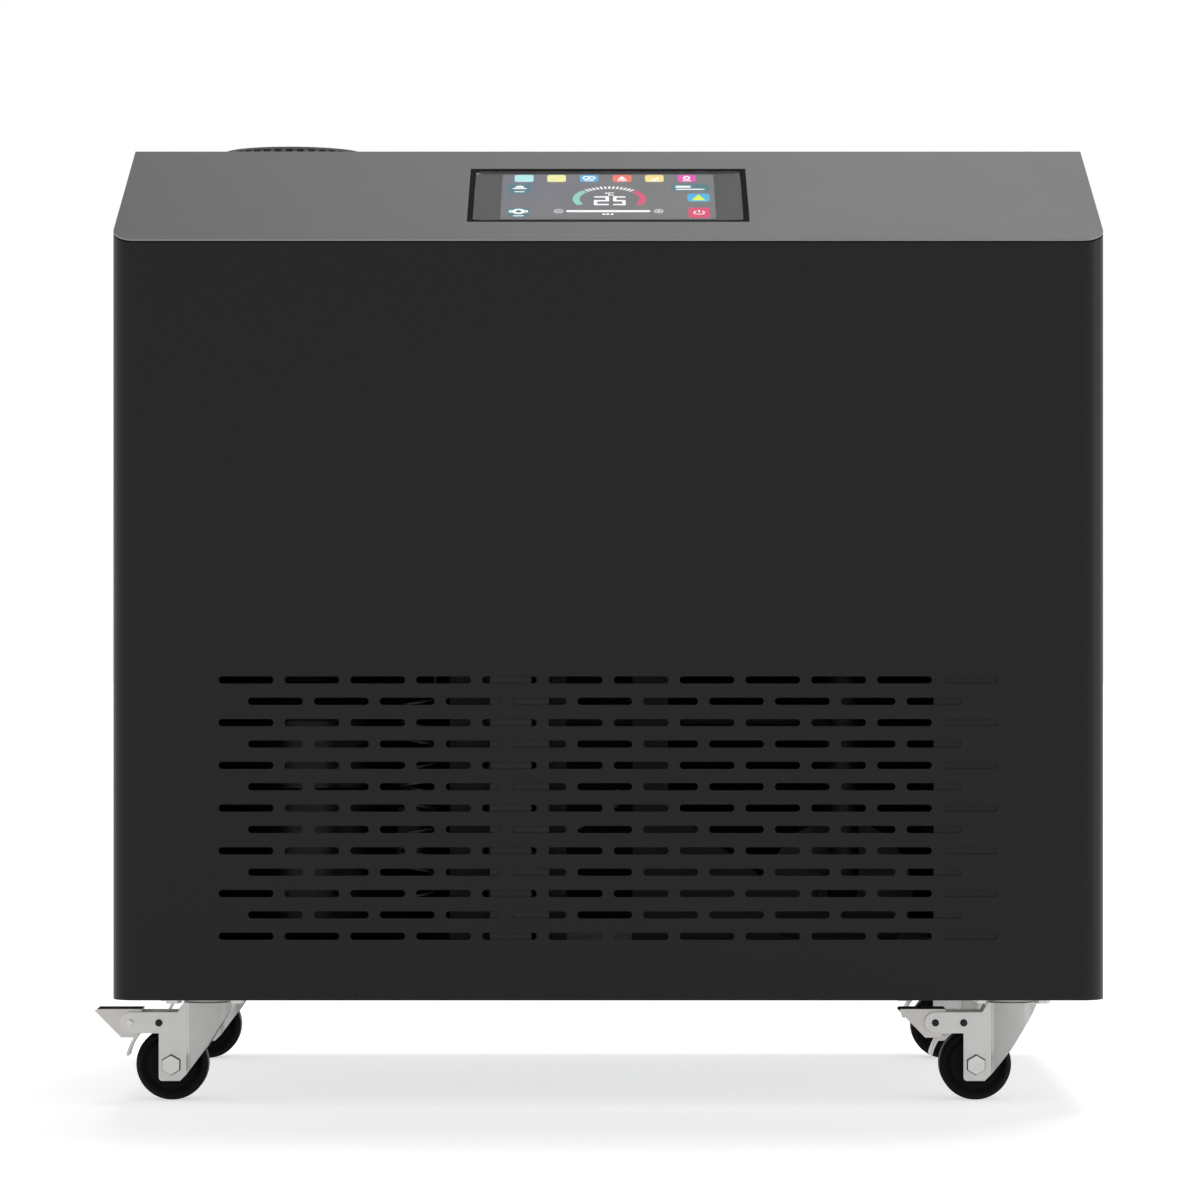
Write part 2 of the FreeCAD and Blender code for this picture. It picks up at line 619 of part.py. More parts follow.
# Centre post: a hat channel right behind the slotted front, with oblong holes.
def make_centre_post():
    part = body("centre_post", y=FRONT + " + sheet", z="castor_height + pan_rise")
    left, right = "-post_left", "-post_right"
    pad(part, draw(part, "XY", 0, [
        (left, 0), (right, 0), (right, "post_depth - sheet"),
        (right + " + post_lip", "post_depth - sheet"), (right + " + post_lip", "post_depth"),
        (right + " - sheet", "post_depth"), (right + " - sheet", "sheet"),
        (left + " + sheet", "sheet"), (left + " + sheet", "post_depth"),
        (left + " - post_wing", "post_depth"), (left + " - post_wing", "post_depth - sheet"),
        (left, "post_depth - sheet")]), "post_height")
    level = "row_start - pan_rise - 5"
    hole = cut(part, draw(part, "XZ", 0, [
        (right + " - 12.5", level), (right + " - sheet - 0.5", level),
        (right + " - sheet - 0.5", level + " + 10"), (right + " - 12.5", level + " + 10")]), "sheet")
    row_of(part, hole, ("V", "long_rows", "2 * row_pitch"))
    wing = cut(part, draw(part, "XZ", "post_depth - sheet", [
        (left + " - 14", level), (left + " - 2", level),
        (left + " - 2", level + " + 10"), (left + " - 14", level + " + 10")]), "sheet")
    row_of(part, wing, ("V", "long_rows", "2 * row_pitch"))


# Inner upright: an angle with a foot gusset, standing on the base pan.
def make_inner_upright():
    part = body("inner_upright", x="upright_left", y=FRONT + " + upright_set", z=FLOOR)
    pad(part, draw(part, "XZ", 0, [
        (0, 0), ("gusset_reach", 0), ("gusset_reach", "gusset_low"),
        ("upright_width", "gusset_high"), ("upright_width", "upright_height"),
        (0, "upright_height")]), "sheet")
    pad(part, draw(part, "YZ", 0, [
        ("sheet", 0), ("upright_web", 0), ("upright_web", "upright_height"),
        ("sheet", "upright_height")]), "sheet")


# Blanking plate: closes the right ends of the slot rows from behind.
def make_blanking_plate():
    part = body("blanking_plate", x="blank_left", y=FRONT + " + sheet", z=FLOOR)
    pad(part, draw(part, "XZ", 0, [
        (0, "pan_rise"), ("blank_width", "pan_rise"), ("blank_width", "blank_height"),
        (0, "blank_height")]), "sheet")


# Display: frame, glass and module, all in the plane of the slope.
def slope_body(label):
    return body(label, y=FRONT, z=SHOULDER, turn_axis=Vector(1, 0, 0), turn_angle="slope_angle")


def make_display():
    part = slope_body("display_frame")
    grown = "window_start + window_fit"
    wide = "(window_width - 2 * window_fit)"
    long = "(window_length - 2 * window_fit)"
    deep = "(recess + glass_thick + frame_wall)"
    pad(part, draw(part, "XY", "-%s" % deep, window(wide, long, grown)), deep)
    pad(part, draw(part, "XY", "-sheet - frame_wall", window(
        wide + " + 2 * frame_flange", long + " + 2 * frame_flange", grown + " - frame_flange")),
        "frame_wall")
    seat = (wide + " - 2 * frame_rim", long + " - 2 * frame_rim", grown + " + frame_rim")
    cut(part, draw(part, "XY", "-recess - glass_thick", window(*seat)), "recess + glass_thick")
    rim = "(frame_rim + ledge)"
    cut(part, draw(part, "XY", "-%s" % deep, window(
        "%s - 2 * %s" % (wide, rim), "%s - 2 * %s" % (long, rim), "%s + %s" % (grown, rim))), deep)

    part = slope_body("display_glass")
    fit = "window_fit"
    pad(part, draw(part, "XY", "-recess - glass_thick", window(
        "%s - 2 * %s" % (seat[0], fit), "%s - 2 * %s" % (seat[1], fit),
        "%s + %s" % (seat[2], fit))), "glass_thick")

    part = slope_body("display_module")
    pad(part, draw(part, "XY", "-recess - glass_thick - module_thick", window(
        "module_width", "module_length",
        "window_start + (window_length - module_length) / 2")), "module_thick")


# Vent on the flat top: a drum of upright bars with a ringed lid, over a small fan.
def make_vent():
    part = body("vent_guard", x="-vent_left", y=VENT_Y, z=TOP)
    wall = "vent_wall"
    foot = draw(part, "XZ", 0, [
        ("vent_hole", 0), ("vent_radius", 0), ("vent_radius", "1.6"), ("vent_hole", "1.6")])
    turned(part, foot)
    bar = pad(part, draw(part, "XY", "1.6", [
        ("vent_radius - %s" % wall, "-1.7"), ("vent_radius - 0.2", "-1.7"),
        ("vent_radius - 0.2", "1.7"), ("vent_radius - %s" % wall, "1.7")]),
        "vent_rise - 1.6 - 1.2")
    round_of(part, bar, "vent_bars")
    turned(part, draw(part, "XZ", 0, [
        ("vent_radius - 5", "vent_rise - 1.6"), ("vent_radius", "vent_rise - 1.6"),
        ("vent_radius", "vent_rise"), ("vent_radius - 5", "vent_rise")]))
    spoke = pad(part, draw(part, "XY", "vent_rise - 1.6", [
        (2, "-1.2"), ("vent_radius - 4", "-1.2"), ("vent_radius - 4", "1.2"), (2, "1.2")]), "1.4")
    round_of(part, spoke, "8")
    for k in range(4):
        inner = "%d * vent_radius / 5" % k
        turned(part, draw(part, "XZ", 0, [
            (inner + " + 1", "vent_rise - 1.6"), (inner + " + 4", "vent_rise - 1.6"),
            (inner + " + 4", "vent_rise"), (inner + " + 1", "vent_rise")]))

    low = TOP + " - sheet - vent_fan_depth"
    part = body("vent_fan_frame", x="-vent_left", y=VENT_Y, z=low)
    half = "vent_fan_side / 2"
    pad(part, draw(part, "XY", 0, [
        ("-" + half, "-" + half), (half, "-" + half), (half, half), ("-" + half, half)]),
        "vent_fan_depth")
    side = number(half)
    rounded(part, "5", lambda e: upright(e) and abs(abs(e.BoundBox.Center.x) - side) < 0.01)
    cut(part, draw(part, "XY", 0, (0, 0, "vent_hole")), "vent_fan_depth")
    spoke = pad(part, draw(part, "XY", 0, [
        (0, -3), ("vent_hole + 1", -3), ("vent_hole + 1", 3), (0, 3)]), "3")
    round_of(part, spoke, "4")
    pad(part, draw(part, "XY", 0, (0, 0, "vent_hub")), "7")
    cut(part, draw(part, "XY", 1, (0, 0, "2 + running_gap")), "6")

    part = body("vent_fan_rotor", x="-vent_left", y=VENT_Y, z=low)
    pad(part, draw(part, "XY", "7 + face_gap", (0, 0, "vent_hub")), "15")
    pad(part, draw(part, "XY", "1.5", (0, 0, 2)), "8")
    add_blades(part, 7, "vent_hub - 1", "vent_hole - tip_gap", "7 + face_gap + 7", 34, 22, 1.6)


def add_blades(part, count, root, tip, level, pitch, chord, thick):
    """Flat pitched blades round Z: each a thin box, turned about its own radius."""
    blade = part.newObject("PartDesign::AdditiveBox", part.Name + "_blade")
    reach = "sqrt((%s) ^ 2 - %g) - (%s)" % (tip, (chord / 2.0) ** 2, root)
    blade.setExpression("Length", tied(reach))
    blade.Width = chord
    blade.Height = thick
    lean = App.Rotation(Vector(1, 0, 0), pitch)
    start = lean.multVec(Vector(0, -chord / 2.0, -thick / 2.0))
    blade.Placement = App.Placement(start, lean)
    blade.setExpression(".Placement.Base.x", tied(root))
    blade.setExpression(".Placement.Base.z", tied("%s + %g" % (level, start.z)))
    doc.recompute()
    part.Tip = blade
    round_of(part, blade, str(count))


# Condenser, its shroud, fan motor, fan and rear guard, all on one axis along Y.
COIL_BACK = "(coil_front + coil_depth)"


def make_fan_side():
    part = body("fan_shroud", x="fan_right", y=COIL_BACK, z=FAN_Z)
    half = "coil_side / 2"
    pad(part, draw(part, "XZ", 0, [
        ("-" + half, "-" + half), (half, "-" + half), (half, half), ("-" + half, half)]), "sheet")
    ring = "fan_radius + sheet"
    pad(part, draw(part, "XZ", "sheet", (0, 0, ring), (0, 0, "fan_radius")),
        "%s - %s - sheet" % (REAR, COIL_BACK))
    cut(part, draw(part, "XZ", 0, (0, 0, "fan_radius")), "sheet")
    arm = pad(part, draw(part, "XZ", "%s - %s - 6" % (REAR, COIL_BACK), [
        ("motor_radius + 1", -5), ("fan_radius + 0.5", -5), ("fan_radius + 0.5", 5),
        ("motor_radius + 1", 5)]), "3")
    round_of(part, arm, "4", "Y")
    pad(part, draw(part, "XZ", "%s - %s - 6" % (REAR, COIL_BACK),
                   (0, 0, "motor_radius + 2.5"), (0, 0, "motor_radius")), "3")

    motor_back = "(%s - 2)" % REAR
    part = body("fan_motor", x="fan_right", y=motor_back + " - motor_length", z=FAN_Z)
    pad(part, draw(part, "XZ", 0, (0, 0, "motor_radius")), "motor_length")
    pad(part, draw(part, "XZ", "-24", (0, 0, "fan_shaft")), "24")
    rounded(part, "6", lambda e: e.Curve.TypeId == "Part::GeomCircle"
            and abs(e.Curve.Radius - number("motor_radius")) < 0.01
            and abs(e.BoundBox.Center.y) < 0.01)

    part = body("fan_blades", x="fan_right", y=motor_back + " - motor_length - 23", z=FAN_Z)
    pad(part, draw(part, "XZ", 0, (0, 0, "fan_hub")), "23 - face_gap")
    cut(part, draw(part, "XZ", 0, (0, 0, "fan_shaft + running_gap")), "23")
    blade = part.newObject("PartDesign::AdditiveBox", "fan_blade")
    chord, thick, pitch = 54.0, 1.8, 24
    blade.setExpression("Length", tied(
        "sqrt((fan_radius - 3 * tip_gap) ^ 2 - %g) - fan_hub + 1" % ((chord / 2) ** 2)))
    blade.Height = chord
    blade.Width = thick
    lean = App.Rotation(Vector(1, 0, 0), pitch)
    start = lean.multVec(Vector(0, -thick / 2, -chord / 2))
    blade.Placement = App.Placement(start, lean)
    blade.setExpression(".Placement.Base.x", tied("fan_hub - 1"))
    blade.setExpression(".Placement.Base.y", tied("%g" % (start.y + 11)))
    doc.recompute()
    part.Tip = blade
    round_of(part, blade, "5", "Y")

    rim = "(fan_radius + guard_margin)"
    rings = []
    for k in range(int(number("guard_rings"))):
        ring = doc.addObject("Part::Torus", "guard_ring")
        ring.Placement = App.Placement(Vector(), App.Rotation(Vector(1, 0, 0), 90))
        step = "(fan_radius - guard_disc) / guard_rings"
        ring.setExpression("Radius1", tied("%s - %d * %s" % (rim, k, step)))
        ring.setExpression("Radius2", tied("guard_wire"))
        ring.setExpression(".Placement.Base.x", tied("fan_right"))
        ring.setExpression(".Placement.Base.y", tied(BACK_FACE + " + guard_wire + guard_margin"))
        ring.setExpression(".Placement.Base.z", tied(FAN_Z))
        rings.append(ring)
    inner = "(guard_disc - 2)"
    for k in range(8):
        wire = doc.addObject("Part::Cylinder", "guard_spoke")
        wire.setExpression("Radius", tied("guard_wire"))
        wire.setExpression("Height", tied("%s - %s" % (rim, inner)))
        side, up = math.sin(k * math.pi / 4), math.cos(k * math.pi / 4)
        aim = App.Rotation(Vector(0, 0, 1), Vector(side, 0, up))
        wire.Placement = App.Placement(Vector(), aim)
        wire.setExpression(".Placement.Base.x", tied("fan_right + %s * %f" % (inner, side)))
        wire.setExpression(".Placement.Base.y", tied(BACK_FACE + " + guard_wire + 2"))
        wire.setExpression(".Placement.Base.z", tied("%s + %s * %f" % (FAN_Z, inner, up)))
        rings.append(wire)
    for k in range(4):
        turn = (k + 0.5) * math.pi / 2
        rings.append(cylinder("guard_foot", "guard_margin", "guard_margin + guard_wire",
                              "fan_right + %s * %f" % (rim, math.sin(turn)), BACK_FACE,
                              "%s + %s * %f" % (FAN_Z, rim, math.cos(turn)), "Y"))
    rings.append(cylinder("guard_middle", "guard_disc", "2 * guard_wire", "fan_right",
                          BACK_FACE + " + 2", FAN_Z, "Y"))
    joined("fan_guard", rings)


def make_condenser():
    half = "coil_side / 2"
    pitch = "(coil_side / coil_passes)"
    part = body("condenser_fins", x="fan_right", y="coil_front", z=FAN_Z)
    pad(part, draw(part, "XZ", 0, [
        ("-" + half, "-" + half), (half, "-" + half), (half, half), ("-" + half, half)]),
        "coil_depth")
    left, right = "(3 - %s)" % half, "(3 - %s + fin_pitch - fin_thick)" % half
    low, high = "(3 - %s)" % half, "(%s - 3)" % half
    core = "(4 * coil_tube - 3.2)"
    depth = "(coil_depth - %s) / 2" % core
    for level in ("0", "(coil_depth + %s) / 2" % core):
        first = cut(part, draw(part, "XZ", level, [
            (left, low), (right, low), (right, high), (left, high)]), depth)
        row_of(part, first, ("H", "floor((coil_side - 6) / fin_pitch)", "fin_pitch"))
    passes = int(number("coil_passes"))
    levels = ["-%s + %s / 2 + %d * %s" % (half, pitch, k, pitch) for k in range(passes)]
    cut(part, draw(part, "YZ", 0, *[("coil_depth / 2", z, "coil_tube + 0.2") for z in levels]))

    spots = []
    out = number(half) + 4
    for k, text in enumerate(levels):
        z = number(FAN_Z) + number(text)
        ends = [Vector(-out, 0, z), Vector(out, 0, z)]
        spots += ends if k % 2 == 0 else ends[::-1]
    shift = point("fan_right", "coil_front + coil_depth / 2", 0)
    turn = number(pitch) / 2
    edges = []
    for k in range(passes):
        a, b = spots[2 * k] + shift, spots[2 * k + 1] + shift
        edges.append(Part.LineSegment(a, b).toShape())
        if k < passes - 1:
            side = 1 if b.x > a.x else -1
            c = spots[2 * k + 2] + shift
            middle = (b + c) * 0.5 + Vector(side * turn, 0, 0)
            edges.append(Part.Arc(b, middle, c).toShape())
    feature("condenser_tubes", swept(edges, number("coil_tube")))
    return spots[0] + shift, spots[-1] + shift


def swept(edges, radius):
    """A round bar along a path of straight runs and arcs."""
    path = Part.Wire(edges)
    start = edges[0]
    at = start.valueAt(start.FirstParameter)
    aim = start.tangentAt(start.FirstParameter)
    ring = Part.Wire([Part.makeCircle(radius, at, aim)])
    return path.makePipeShell([ring], True, False)


def tube(label, spots, radius, bore, bend):
    """A bent tube through the given corners, each corner an arc of the bend radius."""
    edges = []
    at = spots[0]
    for k in range(1, len(spots) - 1):
        back = (spots[k - 1] - spots[k]).normalize()
        ahead = (spots[k + 1] - spots[k]).normalize()
        angle = math.acos(max(-1, min(1, -back.dot(ahead)))) / 2
        run = bend * math.tan(angle)
        start, end = spots[k] + back * run, spots[k] + ahead * run
        inward = (back + ahead).normalize()
        middle = spots[k] + inward * (bend / math.cos(angle) - bend)
        edges += [Part.LineSegment(at, start).toShape(), Part.Arc(start, middle, end).toShape()]
        at = end
    edges.append(Part.LineSegment(at, spots[-1]).toShape())
    solid = swept(edges, radius)
    if bore:
        solid = solid.cut(swept(edges, bore))
    return feature(label, solid)


# Compressor: a welded can on a foot plate with four rubber grommets.
CAN_Z = "(%s + grommet_height)" % FLOOR
CAN_TOP = "(%s + grommet_height + compressor_height)" % FLOOR
COIL_LOW = "(%s - coil_side / 2 + coil_side / coil_passes / 2)" % FAN_Z


def make_compressor():
    part = body("compressor", x="-compressor_left", y="compressor_back", z=CAN_Z)
    rise, out = "compressor_height", "compressor_radius"
    turned(part, draw(part, "XZ", 0, [
        (0, 0), (out + " - 26", 0), (out, 18), (out, rise + " - 34"),
        (out + " - 22", rise + " - 8"), (0, rise)]))
    reach = number(out)
    rounded(part, "14", lambda e: e.Curve.TypeId == "Part::GeomCircle"
            and abs(e.Curve.Radius - reach) < 0.01)
    foot = "(foot_spread + 14)"
    pad(part, draw(part, "XY", 0, [
        ("-" + foot, "-" + foot), (foot, "-" + foot), (foot, foot), ("-" + foot, foot)]), "3")
    cut(part, draw(part, "XY", 0, *[(a + "foot_spread", b + "foot_spread", "6.5")
                                    for a in ("", "-") for b in ("", "-")]), "3")
    for side in ("", "-"):
        pad(part, draw(part, "XY", rise + " - 30", (side + "26", 0, "pipe_radius")), "42")

    feet = []
    for a in ("", "-"):
        for b in ("", "-"):
            x = "-compressor_left %s foot_spread" % (a or "+")
            y = "compressor_back %s foot_spread" % (b or "+")
            low = cylinder("grommet", "11", "grommet_height", x, y, FLOOR)
            neck = cylinder("grommet_neck", "6.3", "grommet_height + 3", x, y, FLOOR)
            head = cylinder("grommet_head", "9", "4", x, y, CAN_Z + " + 3")
            grommet = doc.addObject("Part::MultiFuse", "grommet_whole")
            grommet.Shapes = [low, neck, head]
            feet.append(grommet)
    joined("compressor_feet", feet, "Part::Compound")


# Heat exchanger: an upright barrel with screwed caps and two water ports.
EXCHANGER_PORTS = ("60", "exchanger_height - 46")


def make_exchanger():
    part = body("heat_exchanger", x="-exchanger_left", y="exchanger_back", z=FLOOR)
    out, rise = "exchanger_radius", "exchanger_height"
    turned(part, draw(part, "XZ", 0, [
        (0, 0), (out + " + 6", 0), (out + " + 6", 24), (out, 24), (out, rise + " - 24"),
        (out + " + 6", rise + " - 24"), (out + " + 6", rise), (0, rise)]))
    low, high = EXCHANGER_PORTS
    pad(part, draw(part, "YZ", out + " - 2", (0, high, "hose_radius + 3")), "10")
    pad(part, draw(part, "YZ", out + " + 8", (0, high, "hose_bore - 0.2")), "9")
    pad(part, draw(part, "XZ", "-%s - 8" % out, (0, low, "hose_radius + 3")), "10")
    pad(part, draw(part, "XZ", "-%s - 30" % out, (0, low, "hose_bore - 0.2")), "22")
    for x in ("-24", "24"):
        pad(part, draw(part, "XY", rise, (x, 0, "pipe_radius")), "10")
    cut(part, draw(part, "XY", rise + " - 3", ("-24", 0, "capillary_radius + 0.2")), "14")


# Pump: motor and volute on one axis along Y, its eye to the front, on a foot.
PUMP_Z = "(castor_height + pan_sheet + pump_level)"
PUMP_Y = "(-pump_front)"


def make_pump():
    part = body("pump", x="pump_right", y=PUMP_Y, z=PUMP_Z)
    reach = "volute_radius"
    turned(part, draw(part, "YZ", 0, [
        ("pump_length", 0), ("pump_length", "pump_radius - 8"), ("pump_length - 8", "pump_radius"),
        (0, "pump_radius"), (0, reach), ("-volute_length", reach), ("-volute_length", 17),
        ("-volute_length - 12", 17), ("-volute_length - 12", "hose_bore - 0.2"),
        ("-volute_length - 30", "hose_bore - 0.2"), ("-volute_length - 30", 0)]), "H_Axis")
    pad(part, draw(part, "XY", "-pump_level", [
        ("-38", "14"), ("38", "14"), ("38", "pump_length - 12"), ("-38", "pump_length - 12")]), "4")
    pad(part, draw(part, "XY", "-pump_level + 4", [
        ("-22", "26"), ("22", "26"), ("22", "pump_length - 26"), ("-22", "pump_length - 26")]),
        "pump_level - 4")
    pad(part, draw(part, "XY", 0, (0, "-volute_length / 2", "14")), "volute_radius + 14")
    spigot = (0, "-volute_length / 2", "hose_bore - 0.2")
    pad(part, draw(part, "XY", "volute_radius + 14", spigot), "20")


# Filter: a head hung from the right side wall, with a bowl screwed into it from below
# and a cartridge inside.
FILTER_Z = "(castor_height + pan_sheet + filter_level)"


def make_filter():
    part = body("filter_head", x="filter_right", y="-filter_front", z=FILTER_Z)
    pad(part, draw(part, "XY", 0, (0, 0, "filter_radius + 4")), "34")
    pad(part, draw(part, "XZ", "0", (0, 19, "hose_radius + 3")), "filter_radius + 10")
    pad(part, draw(part, "XZ", "filter_radius + 10", (0, 19, "hose_bore - 0.2")), "20")
    pad(part, draw(part, "YZ", "-filter_radius - 10", (0, 19, "hose_radius + 3")), "20")
    pad(part, draw(part, "YZ", "-filter_radius - 21", (0, 19, "hose_bore - 0.2")), "11")
    wall = "(cabinet_width / 2 - sheet - filter_right)"
    pad(part, draw(part, "XY", 28, [
        (0, -30), (wall, -30), (wall, 30), (0, 30)]), "6")
    pad(part, draw(part, "YZ", wall + " - 3", [(-30, 28), (30, 28), (30, 74), (-30, 74)]), "3")
    cut(part, draw(part, "XY", 0, (0, 0, "filter_radius - 4")), "14")

    part = body("filter_bowl", x="filter_right", y="-filter_front", z=FILTER_Z)
    out, low = "filter_radius", "14 - filter_height"
    turned(part, draw(part, "XZ", 0, [
        (0, low), (out + " - 12", low), (out + " - 8", low + " + 8"), (out + " - 4.3", -6),
        (out + " + 2", -6), (out + " + 2", -0.2), (out + " - 4.3", -0.2), (out + " - 4.3", 13.5),
        (out + " - 9", 13.5), (out + " - 12", low + " + 6"), (0, low + " + 6")]))

    part = body("filter_cartridge", x="filter_right", y="-filter_front", z=FILTER_Z)
    turned(part, draw(part, "XZ", 0, [
        (13, low + " + 6.3"), (34, low + " + 6.3"), (34, 13.7), (13, 13.7)]))


# Fittings on the rear panel.
def make_unions():
    for label, (x, z) in (("water_outlet", OUTLET), ("water_inlet", INLET)):
        part = body(label, x=x, y=BACK_FACE, z=z)
        turned(part, draw(part, "YZ", 0, [
            ("-sheet - 26", "hose_bore - 3"), ("-sheet - 26", "hose_bore - 0.2"),
            ("-sheet - 6", "hose_bore - 0.2"), ("-sheet - 6", "union_radius + 3.5"),
            ("-sheet", "union_radius + 3.5"), ("-sheet", "union_radius"),
            (0, "union_radius"), (0, "union_flange"), (5, "union_flange"),
            (5, "union_radius"), ("5 + union_thread", "union_radius"),
            ("5 + union_thread", "union_radius - 3"), ("4", "union_radius - 3"),
            ("-4", "hose_bore - 3")]), "H_Axis")


# Control box on the rear panel, with the power inlet and its rocker switch below.
def make_electrics():
    part = body("control_box", x=-40, y="%s - box_depth" % REAR, z="castor_height + 432")
    pad(part, draw(part, "XY", 0, [
        (0, 0), ("box_width", 0), ("box_width", "box_depth"), (0, "box_depth")]), "box_height")
    rounded(part, "4", upright)
    pad(part, draw(part, "XZ", "-2", [
        (8, 8), ("box_width - 8", 8), ("box_width - 8", "box_height - 8"), (8, "box_height - 8")]), "2")

    x, z = POWER
    part = body("power_inlet", x=x, y=BACK_FACE, z=z)
    wide, tall = "inlet_width / 2", "inlet_height / 2"
    pad(part, draw(part, "XZ", "-inlet_depth", box_of(wide, tall)), "inlet_depth")
    pad(part, draw(part, "XZ", 0, box_of(wide + " + 4", tall + " + 4")), "2.5")
    low = "3 - inlet_height / 2"
    cut(part, draw(part, "XZ", "2.5 - 18", [
        ("-11", low), ("11", low), ("11", "-4"), ("-11", "-4")]), "18")
    side, high = "rocker_width / 2 + 0.5", "3 + rocker_height"
    cut(part, draw(part, "XZ", "2.5 - 12", [
        ("-(%s)" % side, "2"), (side, "2"), (side, high), ("-(%s)" % side, high)]), "12")
    for px, pz in ((0, "-9"), ("-6.5", "-15"), ("6.5", "-15")):
        pad(part, draw(part, "XZ", "2.5 - 18", (px, pz, "1.6")), "14")
    middle = "(2.5 + rocker_height / 2)"
    for side in (-1, 1):
        start = "-rocker_width / 2 - 0.5" if side < 0 else "rocker_width / 2 - 1"
        pad(part, draw(part, "YZ", start, ("-2.5", middle, "1")), "1.5")

    part = body("rocker", x=x, y=BACK_FACE + " - 2.5", z="%s + %s" % (z, middle))
    high = "(rocker_height / 2)"
    pad(part, draw(part, "YZ", "-rocker_width / 2", [
        ("-2.5", -3), ("-2.5", 3), (1, high + " - 0.8"), (6.5, high + " - 0.8"),
        (4.6, 0), (4.6, "0.5 - " + high), (1, "0.8 - " + high)]), "rocker_width")
    cut(part, draw(part, "YZ", 0, (0, 0, "1 + running_gap")), "rocker_width + 2", middle=True)


def box_of(wide, tall):
    return [("-(%s)" % wide, "-(%s)" % tall), (wide, "-(%s)" % tall), (wide, tall),
            ("-(%s)" % wide, tall)]


# Castors: plate with king pin, fork, wheel, axle bolt and brake pedal. All four trail to
# the left. In each body's own frame the swivel axis is X = 0, Y = 0 and the floor Z = 0.
CASTORS = (("front_left", "-", "-"), ("front_right", "", "-"),
           ("rear_left", "-", ""), ("rear_right", "", ""))
AXLE = "-castor_trail"
RACE = "(castor_height - plate_thick)"


